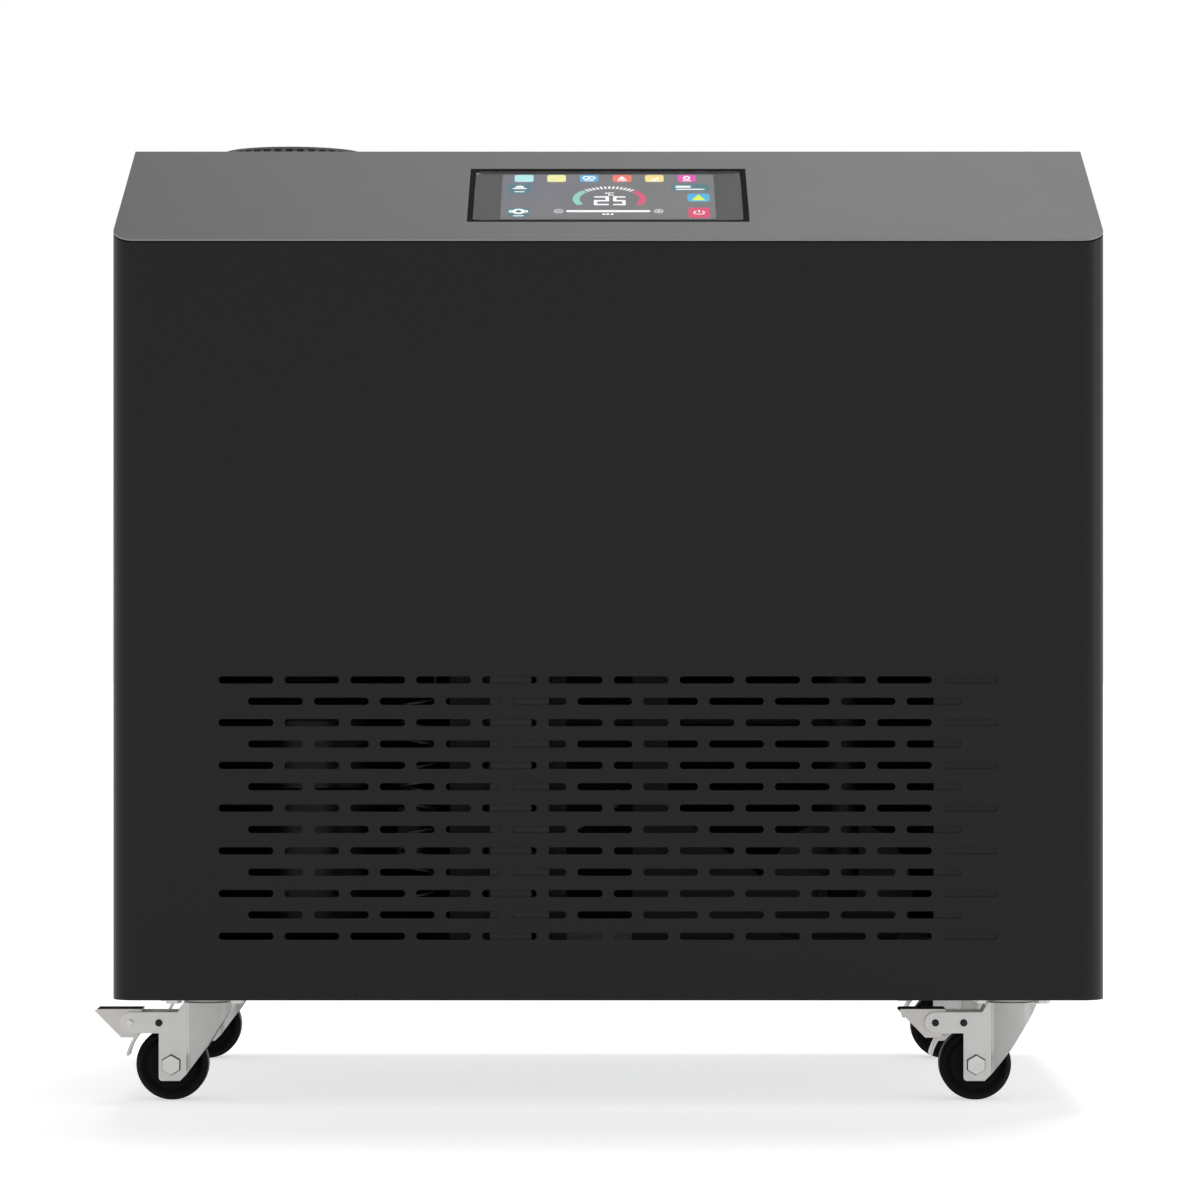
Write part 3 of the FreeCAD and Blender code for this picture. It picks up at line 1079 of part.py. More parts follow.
def make_castor(name, side, along):
    spot = dict(x=side + "castor_across", y=along + "castor_along")
    half = "plate_side / 2"
    out = "(fork_half + fork_sheet)"

    part = body("castor_plate_" + name, **spot)
    pad(part, draw(part, "XY", RACE, box_of(half, half)), "plate_thick")
    edge = number(half)
    rounded(part, "5", lambda e: upright(e) and abs(abs(e.BoundBox.Center.x) - edge) < 0.01)
    cut(part, draw(part, "XY", RACE, *[(a + "bolt_spread", b + "bolt_spread", "bolt_radius + 0.2")
                                       for a in ("", "-") for b in ("", "-")]), "plate_thick")
    race = "(fork_top + face_gap)"
    turned(part, draw(part, "XZ", 0, [
        (0, "fork_top - 8"), ("king_radius + 3", "fork_top - 8"),
        ("king_radius + 3", "fork_top - fork_sheet - face_gap"),
        ("king_radius", "fork_top - fork_sheet - face_gap"), ("king_radius", race),
        ("skirt_radius - 2", race), ("skirt_radius - 1", RACE), (0, RACE)]))

    part = body("castor_fork_" + name, **spot)
    skirt = "skirt_radius"
    pad(part, draw(part, "XZ", 0, [
        ("-leg_back", "fork_top"), (skirt, "fork_top"), (skirt, "fork_top - 1.5"),
        (0, "fork_top - 33"), ("-leg_back", "leg_low + leg_cut")]), "3 * skirt_radius", middle=True)
    far = "(2 * skirt_radius)"
    cut(part, draw(part, "XY", 0, box_of(far, far), (0, 0, skirt)), "fork_top")
    pad(part, draw(part, "XZ", 0, [
        ("-leg_back + 0.6", "fork_top"), ("-leg_back - 2.1", "fork_top"),
        ("-leg_back - 6.1", "arm_level + arm_height / 2"), ("-arm_reach", "arm_level + arm_height / 2"),
        ("-arm_reach", "arm_level - arm_height / 2"), ("-leg_front", "arm_level - arm_height / 2"),
        ("-leg_front", "leg_low"), ("-leg_back - leg_cut", "leg_low"),
        ("-leg_back", "leg_low + leg_cut"), ("-leg_back + 0.6", "leg_low + leg_cut + 0.6")]),
        "2 * %s" % out, middle=True)
    pad(part, draw(part, "XZ", 0, ("-arm_reach", "arm_level", "arm_height / 2")),
        "2 * %s" % out, middle=True)
    cut(part, draw(part, "XY", 0, (0, 0, "skirt_radius - fork_sheet")), "fork_top - fork_sheet")
    cut(part, draw(part, "XY", 0, [
        ("-arm_reach - arm_height", "-fork_half"), ("-leg_back + 4", "-fork_half"),
        ("-leg_back + 4", "fork_half"), ("-arm_reach - arm_height", "fork_half")]),
        "fork_top - fork_sheet")
    cut(part, draw(part, "XY", "fork_top - fork_sheet", (0, 0, "king_radius + running_gap")),
        "fork_sheet")
    cut(part, draw(part, "XZ", 0, (AXLE, "wheel_radius", "axle_radius + running_gap")))
    low = number("leg_low")
    rounded(part, "2.6", lambda e: abs(e.BoundBox.XMax + number("leg_front")) < 0.01
            and abs(e.BoundBox.ZMax - low) < 0.01 and e.BoundBox.YLength > 2)
    pad(part, draw(part, "XZ", 0, ("-arm_reach", "arm_level", "rivet_radius")),
        "2 * %s" % out, middle=True)
    pad(part, draw(part, "XZ", 0, ("-rivet_reach", "arm_level", "rivet_radius")),
        "2 * %s + 1" % out, middle=True)

    part = body("castor_wheel_" + name, x="%s - castor_trail" % spot["x"], y=spot["y"],
                z="wheel_radius")
    wide = "wheel_width / 2"
    turned(part, draw(part, "YZ", 0, [
        ("-%s" % wide, "wheel_radius - 4"), ("-%s" % wide, "wheel_radius - tread_round"),
        ("-%s + tread_round" % wide, "wheel_radius"), ("%s - tread_round" % wide, "wheel_radius"),
        (wide, "wheel_radius - tread_round"), (wide, "wheel_radius - 4"),
        ("%s - 3" % wide, "wheel_radius - 8"), ("%s - 3" % wide, "axle_radius + 5"),
        ("fork_half - face_gap", "axle_radius + 4"), ("fork_half - face_gap", "axle_radius + running_gap"),
        ("-fork_half + face_gap", "axle_radius + running_gap"), ("-fork_half + face_gap", "axle_radius + 4"),
        ("-%s + 3" % wide, "axle_radius + 5"), ("-%s + 3" % wide, "wheel_radius - 8")]), "H_Axis")

    part = body("castor_axle_" + name, x="%s - castor_trail" % spot["x"], y=spot["y"],
                z="wheel_radius")
    pad(part, draw(part, "XZ", 0, (0, 0, "axle_radius")), "2 * (%s + nut_height)" % out, middle=True)
    corner = "nut_flats / sqrt(3)"
    hexagon = [("(%s) * %.6f" % (corner, math.sin(k * math.pi / 3)),
                "(%s) * %.6f" % (corner, math.cos(k * math.pi / 3))) for k in range(6)]
    pad(part, draw(part, "XZ", "-%s - nut_height" % out, hexagon), "nut_height")
    pad(part, draw(part, "XZ", out, hexagon), "nut_height")

    part = body("castor_pedal_" + name, **spot)
    cheek = "(fork_half - face_gap)"
    inner = "(fork_half - face_gap - pedal_sheet)"
    pad(part, draw(part, "XZ", 0, [
        ("-pedal_reach", "pedal_top - 1.2"), ("-pedal_reach + 1.5", "pedal_top"),
        ("-arm_reach + 8.2", "pedal_top"), ("-arm_reach + 6.5", "arm_level + arm_height / 2 - 1"),
        ("-arm_reach + 6", "pedal_low + 2"), ("-arm_reach + 2.8", "pedal_low"),
        ("-arm_reach - 7.1", "pedal_low")]), "2 * " + cheek, middle=True)
    cut(part, draw(part, "XZ", 0, [
        ("-pedal_reach - 5", "pedal_top - pedal_sheet"), ("-arm_reach + 20", "pedal_top - pedal_sheet"),
        ("-arm_reach + 20", "pedal_low - 5"), ("-pedal_reach - 5", "pedal_low - 5")]),
        "2 * " + inner, middle=True)
    ring = ("-castor_trail", "wheel_radius")
    pad(part, draw(part, "XZ", 0, (*ring, "brake_radius + pedal_sheet"), (*ring, "brake_radius")),
        "2 * " + inner + " + 0.4", middle=True)
    keep = "(castor_trail + brake_radius + 10)"
    cut(part, draw(part, "XZ", 0, [
        ("-" + keep, "wheel_radius + 8.5"), ("-castor_trail", "wheel_radius - 2"),
        ("-arm_reach + 6.5", "pedal_low + 1"), ("40", "pedal_low + 1"), ("40", "-30"),
        ("-" + keep, "-30")]), "2 * " + cheek + " + 2", middle=True)
    cut(part, draw(part, "XZ", 0, [
        ("-castor_trail - 24", "pedal_low + 0.4"), ("30", "pedal_low + 0.4"), ("30", "pedal_top + 5"),
        ("-castor_trail - 20.8", "pedal_top + 5")]), "2 * " + cheek + " + 2", middle=True)
    cut(part, draw(part, "XZ", 0, ("-arm_reach", "arm_level", "rivet_radius + running_gap")))


# Fasteners: screws of the rear panel, and the bolts that hold the castors to the base pan.
def make_fasteners():
    bolts = []
    for sign in ("", "-"):
        for level in SCREW_LEVELS:
            x = sign + "(cabinet_width / 2 - rear_flange / 2)"
            shank = cylinder("screw_shank", "screw_radius", "3 * sheet + 4", x,
                             REAR + " - 2 * sheet - 2", level, "Y")
            head = cylinder("screw_head", "2 * screw_radius", "2", x, BACK_FACE, level, "Y")
            screw = doc.addObject("Part::MultiFuse", "screw")
            screw.Shapes = [shank, head]
            bolts.append(screw)
    for name, side, along in CASTORS:
        for a in ("+", "-"):
            for b in ("+", "-"):
                x = "%scastor_across %s bolt_spread" % (side, a)
                y = "%scastor_along %s bolt_spread" % (along, b)
                head = doc.addObject("Part::Prism", "bolt_head")
                head.Polygon = 6
                head.setExpression("Circumradius", tied("bolt_radius * 1.9"))
                head.setExpression("Height", tied("bolt_radius"))
                for letter, text in (("x", x), ("y", y), ("z", RACE + " - bolt_radius")):
                    head.setExpression(".Placement.Base." + letter, tied(text))
                shank = cylinder("bolt_shank", "bolt_radius", "plate_thick + pan_sheet + 8 + bolt_radius",
                                 x, y, RACE + " - bolt_radius")
                nut = cylinder("bolt_nut", "bolt_radius * 1.9", "5", x, y, FLOOR)
                bolt = doc.addObject("Part::MultiFuse", "bolt")
                bolt.Shapes = [head, shank, nut]
                bolts.append(bolt)
    joined("fasteners", bolts, "Part::Compound")


# Tubes and hoses between the machines.
def make_tubes(coil_low, coil_high):
    hose, bore = number("hose_radius"), number("hose_bore")
    pipe, hole = number("pipe_radius"), number("pipe_bore")
    ex = Vector(-number("exchanger_left"), number("exchanger_back"), number(FLOOR))
    port = number("exchanger_radius + 8")
    low = ex + Vector(0, -port, number(EXCHANGER_PORTS[0]))
    high = ex + Vector(port, 0, number(EXCHANGER_PORTS[1]))
    out_x = number(OUTLET[0])
    in_x, in_z = (number(text) for text in INLET)
    panel = number("%s - 6" % REAR)
    tube("outlet_hose", [high, Vector(out_x, high.y, high.z), Vector(out_x, panel, high.z)],
         hose, bore, 26)
    head = Vector(number("filter_right"), -number("filter_front"), number(FILTER_Z) + 19)
    tube("inlet_hose", [Vector(in_x, panel, in_z), Vector(in_x, 40, in_z), Vector(head.x, 0, head.z),
                        head + Vector(0, number("filter_radius + 10"), 0)], hose, bore, 26)
    pump = Vector(number("pump_right"), number(PUMP_Y), number(PUMP_Z))
    eye = pump - Vector(0, number("volute_length + 12"), 0)
    start = head - Vector(number("filter_radius + 10"), 0, 0)
    tube("suction_hose", [start, Vector(pump.x, start.y, start.z), Vector(pump.x, start.y, eye.z), eye],
         hose, bore, 26)
    mouth = pump + Vector(0, -number("volute_length / 2"), number("volute_radius + 14"))
    over = mouth.z + number("pump_hose_rise")
    tube("pump_hose", [mouth, Vector(mouth.x, mouth.y, over), Vector(low.x, mouth.y, over),
                       Vector(low.x, mouth.y, low.z), low], hose, bore, 26)
    can = Vector(-number("compressor_left"), number("compressor_back"), number(CAN_TOP) + 12)
    tip = number(FLOOR) + number("exchanger_height") + 10
    over = tip + number("suction_rise")
    tube("suction_pipe", [ex + Vector(24, 0, tip - ex.z), Vector(ex.x + 24, ex.y, over),
                          Vector(can.x + 26, can.y, over), can + Vector(26, 0, 0)], pipe, hole, 14)
    over = number(CAN_TOP + " + discharge_rise")
    tube("discharge_pipe", [can - Vector(26, 0, 0), Vector(can.x - 26, can.y, over),
                            Vector(coil_high.x - 16, coil_high.y, over),
                            Vector(coil_high.x - 16, coil_high.y, coil_high.z), coil_high],
         pipe, hole, 12)

    drier = point("drier_right", "drier_back", COIL_LOW)
    can = body("filter_can", x="drier_right", y="drier_back", z=COIL_LOW)
    turned(can, draw(can, "YZ", 0, [
        (-44, 0), (-44, "pipe_radius"), (-34, 12), (34, 12), (44, "pipe_radius"), (44, 0)]), "H_Axis")
    line = tube("liquid_line", [coil_low, Vector(drier.x, coil_low.y, coil_low.z),
                                Vector(drier.x, drier.y + 43, coil_low.z)], pipe, hole, 12)
    nodes.pop("filter_can")
    nodes.pop("liquid_line")
    joined("filter_drier", [can, line])

    radius, reach = number("capillary_radius"), number("capillary_coil")
    rise = number("capillary_pitch * capillary_turns")
    coil_at = point("-capillary_left", FRONT + " + capillary_set", FLOOR + " + capillary_level")
    helix = Part.makeHelix(number("capillary_pitch"), rise, reach)
    ring = Part.Wire([Part.makeCircle(radius, Vector(reach, 0, 0), Vector(0, 1, 0))])
    winding = Part.Wire(helix.Edges).makePipeShell([ring], True, True)
    winding.translate(coil_at)
    start, end = coil_at + Vector(reach, 0, 0), coil_at + Vector(reach, 0, rise)
    lead = bent([Vector(drier.x, drier.y - 44, drier.z), Vector(drier.x, start.y - 20, drier.z),
                 Vector(start.x, start.y - 20, start.z), start], radius, 8)
    top = Vector(ex.x - 24, ex.y, tip)
    tail = bent([end, end + Vector(0, 20, 0), Vector(end.x, end.y + 20, tip + 24),
                 Vector(top.x, top.y, tip + 24), top], radius, 8)
    feature("capillary_tube", Part.makeCompound([winding, lead, tail]))


def bent(spots, radius, bend):
    """The solid of a thin bent bar, without making a node of it."""
    made = tube("capillary_run", spots, radius, 0, bend)
    solid = made.Shape.copy()
    nodes.pop("capillary_run")
    doc.removeObject(made.Name)
    return solid


make_front_shell()
make_top_cover()
make_rear_panel()
make_base_pan()
make_centre_post()
make_inner_upright()
make_blanking_plate()
make_display()
make_vent()
make_fan_side()
coil_ends = make_condenser()
make_compressor()
make_exchanger()
make_pump()
make_filter()
make_unions()
make_electrics()
for castor in CASTORS:
    make_castor(*castor)
make_fasteners()
make_tubes(*coil_ends)
doc.recompute()

for item in doc.Objects:
    if "Invalid" in item.State or "Error" in item.State:
        raise RuntimeError("%s is in state %s" % (item.Name, item.State))
os.makedirs("parts", exist_ok=True)
for label, item in nodes.items():
    shape = item.Shape
    if shape.isNull() or not shape.isValid() or not shape.Solids:
        raise RuntimeError(label + " has no valid solid")
    shape.exportStep(os.path.join("parts", label + ".step"))
print(len(nodes), "nodes")
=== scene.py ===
# Ice bath chiller: a black powder-coated cabinet on four castors, with a sloped console.
# X is right, Y is back and Z is up from the floor. The studio is set out in metres. From
# the base pan on, sizes are in millimetres, and the calls that make meshes turn them into
# metres.
import bmesh
import bpy
import json
import math
import numpy as np
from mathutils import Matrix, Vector


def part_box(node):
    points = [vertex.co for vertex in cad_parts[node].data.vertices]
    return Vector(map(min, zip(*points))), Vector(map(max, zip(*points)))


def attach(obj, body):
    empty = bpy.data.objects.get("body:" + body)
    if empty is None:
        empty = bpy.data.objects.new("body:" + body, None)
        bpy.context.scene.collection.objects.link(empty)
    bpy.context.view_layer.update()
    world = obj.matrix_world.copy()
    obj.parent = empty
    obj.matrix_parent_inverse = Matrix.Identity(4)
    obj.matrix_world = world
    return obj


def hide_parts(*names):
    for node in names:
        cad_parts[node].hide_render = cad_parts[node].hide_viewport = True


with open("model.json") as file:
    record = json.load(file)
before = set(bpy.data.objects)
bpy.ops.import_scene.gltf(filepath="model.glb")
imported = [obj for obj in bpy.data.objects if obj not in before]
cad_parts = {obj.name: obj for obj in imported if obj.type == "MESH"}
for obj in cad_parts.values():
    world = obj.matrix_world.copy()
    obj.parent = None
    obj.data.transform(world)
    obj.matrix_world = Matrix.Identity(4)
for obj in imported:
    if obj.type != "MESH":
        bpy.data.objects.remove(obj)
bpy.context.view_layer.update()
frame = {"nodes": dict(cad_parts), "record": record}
scene = bpy.context.scene
scene.view_settings.view_transform = "Standard"

# Studio: a pale floor that runs out of sight, a white surround and large soft lamps. The
# camera is level with the middle of the cabinet and looks straight at it, far off, through
# a long lens.
CAMERA_AT, FILM_WIDTH, LENS = (-0.00584, -3.381, 0.3578), 36, 135.2
camera = bpy.data.objects.new("camera", bpy.data.cameras.new("camera"))
camera.location = CAMERA_AT
camera.rotation_euler = (math.radians(90), 0, 0)
camera.data.sensor_width = FILM_WIDTH
camera.data.lens = LENS
scene.collection.objects.link(camera)
scene.camera = camera

FLOOR_HALF, PAPER_TONE = 16.0, 0.84
floor_mesh = bpy.data.meshes.new("floor")
floor_mesh.from_pydata([(x * FLOOR_HALF, y * FLOOR_HALF, 0)
                        for x, y in ((-1, -1), (1, -1), (1, 1), (-1, 1))], [], [(0, 1, 2, 3)])
floor = bpy.data.objects.new("floor", floor_mesh)
scene.collection.objects.link(floor)
paper = bpy.data.materials.new("floor_paper")
paper.use_nodes = True
shader = paper.node_tree.nodes["Principled BSDF"]
shader.inputs["Base Color"].default_value = (PAPER_TONE, PAPER_TONE, PAPER_TONE, 1)
shader.inputs["Roughness"].default_value = 1.0
shader.inputs["Specular IOR Level"].default_value = 0.0
shader.inputs["Emission Color"].default_value = (1, 1, 1, 1)
floor_mesh.materials.append(paper)


def shown(tree, plain, seen, socket):
    """Drive a socket by how a surface is looked at: the seen value for rays from the
    camera, off gloss and through glass, and the plain value for all other light."""
    rays = tree.nodes.new("ShaderNodeLightPath")
    looked = rays.outputs["Is Camera Ray"]
    for kind in ("Is Glossy Ray", "Is Transmission Ray"):
        larger = tree.nodes.new("ShaderNodeMath")
        larger.operation = "MAXIMUM"
        tree.links.new(looked, larger.inputs[0])
        tree.links.new(rays.outputs[kind], larger.inputs[1])
        looked = larger.outputs[0]
    level = tree.nodes.new("ShaderNodeMapRange")
    level.inputs["To Min"].default_value = plain
    level.inputs["To Max"].default_value = seen
    tree.links.new(looked, level.inputs["Value"])
    tree.links.new(level.outputs["Result"], socket)


FLOOR_LIFT, SURROUND_LIGHT = 0.56, 0.42
shown(paper.node_tree, 0.0, FLOOR_LIFT, shader.inputs["Emission Strength"])
scene.world = bpy.data.worlds.new("surround")
scene.world.use_nodes = True
backdrop = scene.world.node_tree.nodes["Background"]
backdrop.inputs["Color"].default_value = (1, 1, 1, 1)
shown(scene.world.node_tree, SURROUND_LIGHT, 1.0, backdrop.inputs["Strength"])

KEY_FROM, KEY_SPREAD, KEY_STRENGTH = (0.10, 0.42, 0.90), 24, 1.25
key = bpy.data.lights.new("key", "SUN")
key.angle = math.radians(KEY_SPREAD)
key.energy = KEY_STRENGTH
key_lamp = bpy.data.objects.new("key", key)
key_lamp.rotation_euler = (-Vector(KEY_FROM)).to_track_quat("-Z", "Y").to_euler()
scene.collection.objects.link(key_lamp)

for name, place, aim, size, radiance in (
        ("lamp_right", (2.7, -0.7, 1.0), (0.2, 0, 0.4), (1.0, 2.0), 1.7),
        ("lamp_left", (-2.6, 0.4, 1.2), (0, 0, 0.3), (1.2, 1.8), 0.3)):
    softbox = bpy.data.lights.new(name, "AREA")
    softbox.shape = "RECTANGLE"
    softbox.size, softbox.size_y = size
    softbox.energy = radiance * math.pi * size[0] * size[1]
    lamp = bpy.data.objects.new(name, softbox)
    lamp.location = place
    lamp.rotation_euler = (Vector(aim) - Vector(place)).to_track_quat("-Z", "Y").to_euler()
    scene.collection.objects.link(lamp)

# Base pan: one folded tray of galvanised sheet, which carries the machines and takes the
# castors' bolts. Zinc on sheet steel shows faint crystals and a fine rolled grain.
HOMES = {node: body for body, nodes in frame["record"]["behaviour"]["bodies"].items()
         for node in nodes}
MERGE_WITHIN, FLAT_WITHIN, SHARP_OVER, EDGE_STEPS = 0.002, 0.5, 30, 2


def coat(name, dark, light, patch, rough, metal=0.0, grain=0.6, relief=0.06, gloss=0.5):
    """A surface whose tone drifts between two colours in patches of a size, with a fine
    grain pressed into it: noise on object coordinates, scale one over the size. The
    roughness swings by a tenth with the tone, and the grain is three tenths of its own size
    deep at full relief."""
    made = bpy.data.materials.new(name)
    made.use_nodes = True
    nodes, links = made.node_tree.nodes, made.node_tree.links
    shader = nodes["Principled BSDF"]
    shader.inputs["Metallic"].default_value = metal
    shader.inputs["Specular IOR Level"].default_value = gloss
    spot = nodes.new("ShaderNodeTexCoord")
    drift = nodes.new("ShaderNodeTexNoise")
    drift.inputs["Scale"].default_value = 1000 / patch
    drift.inputs["Detail"].default_value = 4
    links.new(spot.outputs["Object"], drift.inputs["Vector"])
    tone = nodes.new("ShaderNodeMix")
    tone.data_type = "RGBA"
    tone.inputs["A"].default_value = (*dark, 1)
    tone.inputs["B"].default_value = (*light, 1)
    links.new(drift.outputs["Fac"], tone.inputs["Factor"])
    links.new(tone.outputs["Result"], shader.inputs["Base Color"])
    sheen = nodes.new("ShaderNodeMapRange")
    sheen.inputs["To Min"].default_value = rough * 0.9
    sheen.inputs["To Max"].default_value = rough * 1.1
    links.new(drift.outputs["Fac"], sheen.inputs["Value"])
    links.new(sheen.outputs["Result"], shader.inputs["Roughness"])
    pits = nodes.new("ShaderNodeTexNoise")
    pits.inputs["Scale"].default_value = 1000 / grain
    pits.inputs["Detail"].default_value = 2
    links.new(spot.outputs["Object"], pits.inputs["Vector"])
    press = nodes.new("ShaderNodeBump")
    press.inputs["Strength"].default_value = relief
    press.inputs["Distance"].default_value = grain * 0.0003
    links.new(pits.outputs["Fac"], press.inputs["Height"])
    links.new(press.outputs["Normal"], shader.inputs["Normal"])
    return made


def eased(material, width, *nodes, second=None, where=None):
    """Copies of solids with each edge sharper than an angle rounded over by a width, as
    sheared, moulded and cast pieces have them: merged, flat faces joined, then bevelled.
    With no width the edges stay crisp. A second material goes on the faces that pass a
    test."""
    for node in nodes:
        work = bmesh.new()
        work.from_mesh(frame["nodes"][node].data)
        bmesh.ops.remove_doubles(work, verts=work.verts, dist=MERGE_WITHIN / 1000)
        bmesh.ops.dissolve_limit(work, angle_limit=math.radians(FLAT_WITHIN), verts=work.verts,
                                 edges=work.edges)
        for face in work.faces:
            face.smooth = True
            face.material_index = 1 if second and where(face) else 0
        mesh = bpy.data.meshes.new(node + "_eased")
        work.to_mesh(mesh)
        work.free()
        mesh.materials.append(material)
        if second:
            mesh.materials.append(second)
        copy = bpy.data.objects.new(node + "_eased", mesh)
        scene.collection.objects.link(copy)
        if width:
            edges = copy.modifiers.new("rounded_edges", "BEVEL")
            edges.width = width / 1000
            edges.segments = EDGE_STEPS
            edges.limit_method = "ANGLE"
            edges.angle_limit = math.radians(SHARP_OVER)
            level_faces = copy.modifiers.new("level_faces", "WEIGHTED_NORMAL")
            level_faces.mode = "FACE_AREA"
            level_faces.weight = 100
        else:
            mesh.set_sharp_from_angle(angle=math.radians(SHARP_OVER))
        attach(copy, HOMES[node])
        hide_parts(node)


galvanised = coat("galvanised_sheet", (0.36, 0.37, 0.38), (0.56, 0.57, 0.58), 14, 0.36, 0.85,
                  2.5, 0.04)
eased(galvanised, 0.4, "base_pan")

# Castors: pressed plates, forks and pedals of zinc-plated steel, and a moulded black wheel on a
# hexagon bolt. Each pedal's top faces are painted black as shade. Behind its flat legs the fork
# bends into a hood, whose zinc is painted in a darker tone as shade.
bright_zinc = coat("bright_zinc", (0.66, 0.66, 0.64), (0.76, 0.76, 0.74), 9, 0.34, 0.5, 0.8, 0.03)
hood_painted_shade = coat("hood_painted_shade", (0.34, 0.34, 0.33), (0.42, 0.42, 0.41), 9, 0.30, 0.95, 0.8, 0.03)
warm_zinc = coat("warm_zinc", (0.70, 0.67, 0.64), (0.80, 0.77, 0.74), 9, 0.38, 0.4, 0.8, 0.03)
pedal_top_shade = coat("pedal_top_painted_shade", (0.010, 0.010, 0.010), (0.018, 0.018, 0.018), 5, 0.9, 0,
                  0.5, 0.08, 0.02)
bolt_zinc = coat("bolt_zinc", (0.66, 0.66, 0.64), (0.78, 0.78, 0.76), 4, 0.30, 0.6, 0.5, 0.03)
tread_black = coat("moulded_tread", (0.0080, 0.0080, 0.0075), (0.0100, 0.0100, 0.0095), 6, 0.5,
                   0, 0.5, 0.05, 0.06)
CORNERS = ("front_left", "front_right", "rear_left", "rear_right")
CASTOR_ACROSS, CASTOR_ALONG = 287.5, 147.0
HOOD_START, UPRIGHT, LYING, SAME_SPOT = -12.0, 0.35, 0.7, 0.001
for corner in CORNERS:
    x = CASTOR_ACROSS if "right" in corner else -CASTOR_ACROSS
    eased(bright_zinc, 0.35, "castor_plate_" + corner)
    # The hood's upright faces take a darker copy of the zinc: painted shade.
    eased(bright_zinc, 0.35, "castor_fork_" + corner, second=hood_painted_shade,
          where=lambda face: (abs(face.normal.z) < UPRIGHT
                              and face.calc_center_median().x * 1000 > x + HOOD_START))
    # The pedals' top faces are coloured near black: painted shade.
    eased(warm_zinc, 0.25, "castor_pedal_" + corner, second=pedal_top_shade,
          where=lambda face: face.normal.z > LYING)
    eased(bolt_zinc, 0.35, "castor_axle_" + corner)
    eased(tread_black, 0.5, "castor_wheel_" + corner)


def skin(points, around=True, along=False, capped=False):
    """Faces over a grid of points, rows by columns. Around joins the last column to the
    first, along the last row to the first, and capped fills the first and the last row."""
    rows, columns = points.shape[:2]
    index = np.arange(rows * columns).reshape(rows, columns)
    ends = [index[0, ::-1].tolist(), index[-1].tolist()] if capped else []
    if around:
        index = np.hstack([index, index[:, :1]])
    if along:
        index = np.vstack([index, index[:1]])
    corners = (index[:-1, :-1], index[:-1, 1:], index[1:, 1:], index[1:, :-1])
    quads = np.stack(corners, axis=-1).reshape(-1, 4)
    return points.reshape(-1, 3), quads.tolist() + ends


def piece(name, home, slot, material, *skins, sharp=35):
    """One new piece from skins in millimetres: points that coincide are merged, faces are
    turned outwards, and edges sharper than an angle stay crisp."""
    points, faces, count = [], [], 0
    for own_points, own_faces in skins:
        points.append(own_points)
        faces += [[k + count for k in face] for face in own_faces]
        count += len(own_points)
    mesh = bpy.data.meshes.new(name)
    mesh.from_pydata((np.concatenate(points) / 1000).tolist(), [], faces)
    work = bmesh.new()
    work.from_mesh(mesh)
    bmesh.ops.remove_doubles(work, verts=work.verts, dist=SAME_SPOT / 1000)
    bmesh.ops.recalc_face_normals(work, faces=work.faces)
    for face in work.faces:
        face.smooth = True
    work.to_mesh(mesh)
    work.free()
    mesh.set_sharp_from_angle(angle=math.radians(sharp))
    mesh.materials.append(material)
    made = bpy.data.objects.new(name, mesh)
    scene.collection.objects.link(made)
    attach(made, home)
    return made


def spun(profile, middle, axis, steps=48):
    """A closed outline of (radius, along) pairs turned about an axis through a point: each
    point of the skin is middle + along times the axis + radius times a unit circle."""
    radius, along = np.array(profile, float).T
    lead = np.array(axis, float)
    side = np.cross(lead, (0.0, 0.0, 1.0) if abs(lead[2]) < 0.9 else (1.0, 0.0, 0.0))
    side /= np.linalg.norm(side)
    up = np.cross(lead, side)
    turn = np.arange(steps) * 2 * math.pi / steps
    circle = np.cos(turn)[:, None] * side + np.sin(turn)[:, None] * up
    points = (np.array(middle, float) + along[None, :, None] * lead
              + radius[None, :, None] * circle[:, None, :])
    return skin(points, around=True, along=True)


# Brake arms: a rivet and a pivot go through each, with heads coloured near black as painted shade
# but for one plated pivot. A thin six-sided plate, a little wider than the head, lies under each
# head of the wheel's axle, coloured near black as a painted shadow round the head.
RIVET_REACH, PIVOT_REACH, ARM_LEVEL, LEG_FACE = 33.5, 53.7, 55.7, 14.3
RIVET_FOOT, SUNK, SHADE_RIM, SHADE_THICK = 0.5, 0.05, 0.7, 0.12
RIVET_HEAD = [(0, 0), (2.6, 0), (2.6, 0.5), (2.2, 0.9), (1.2, 1.15), (0, 1.25)]
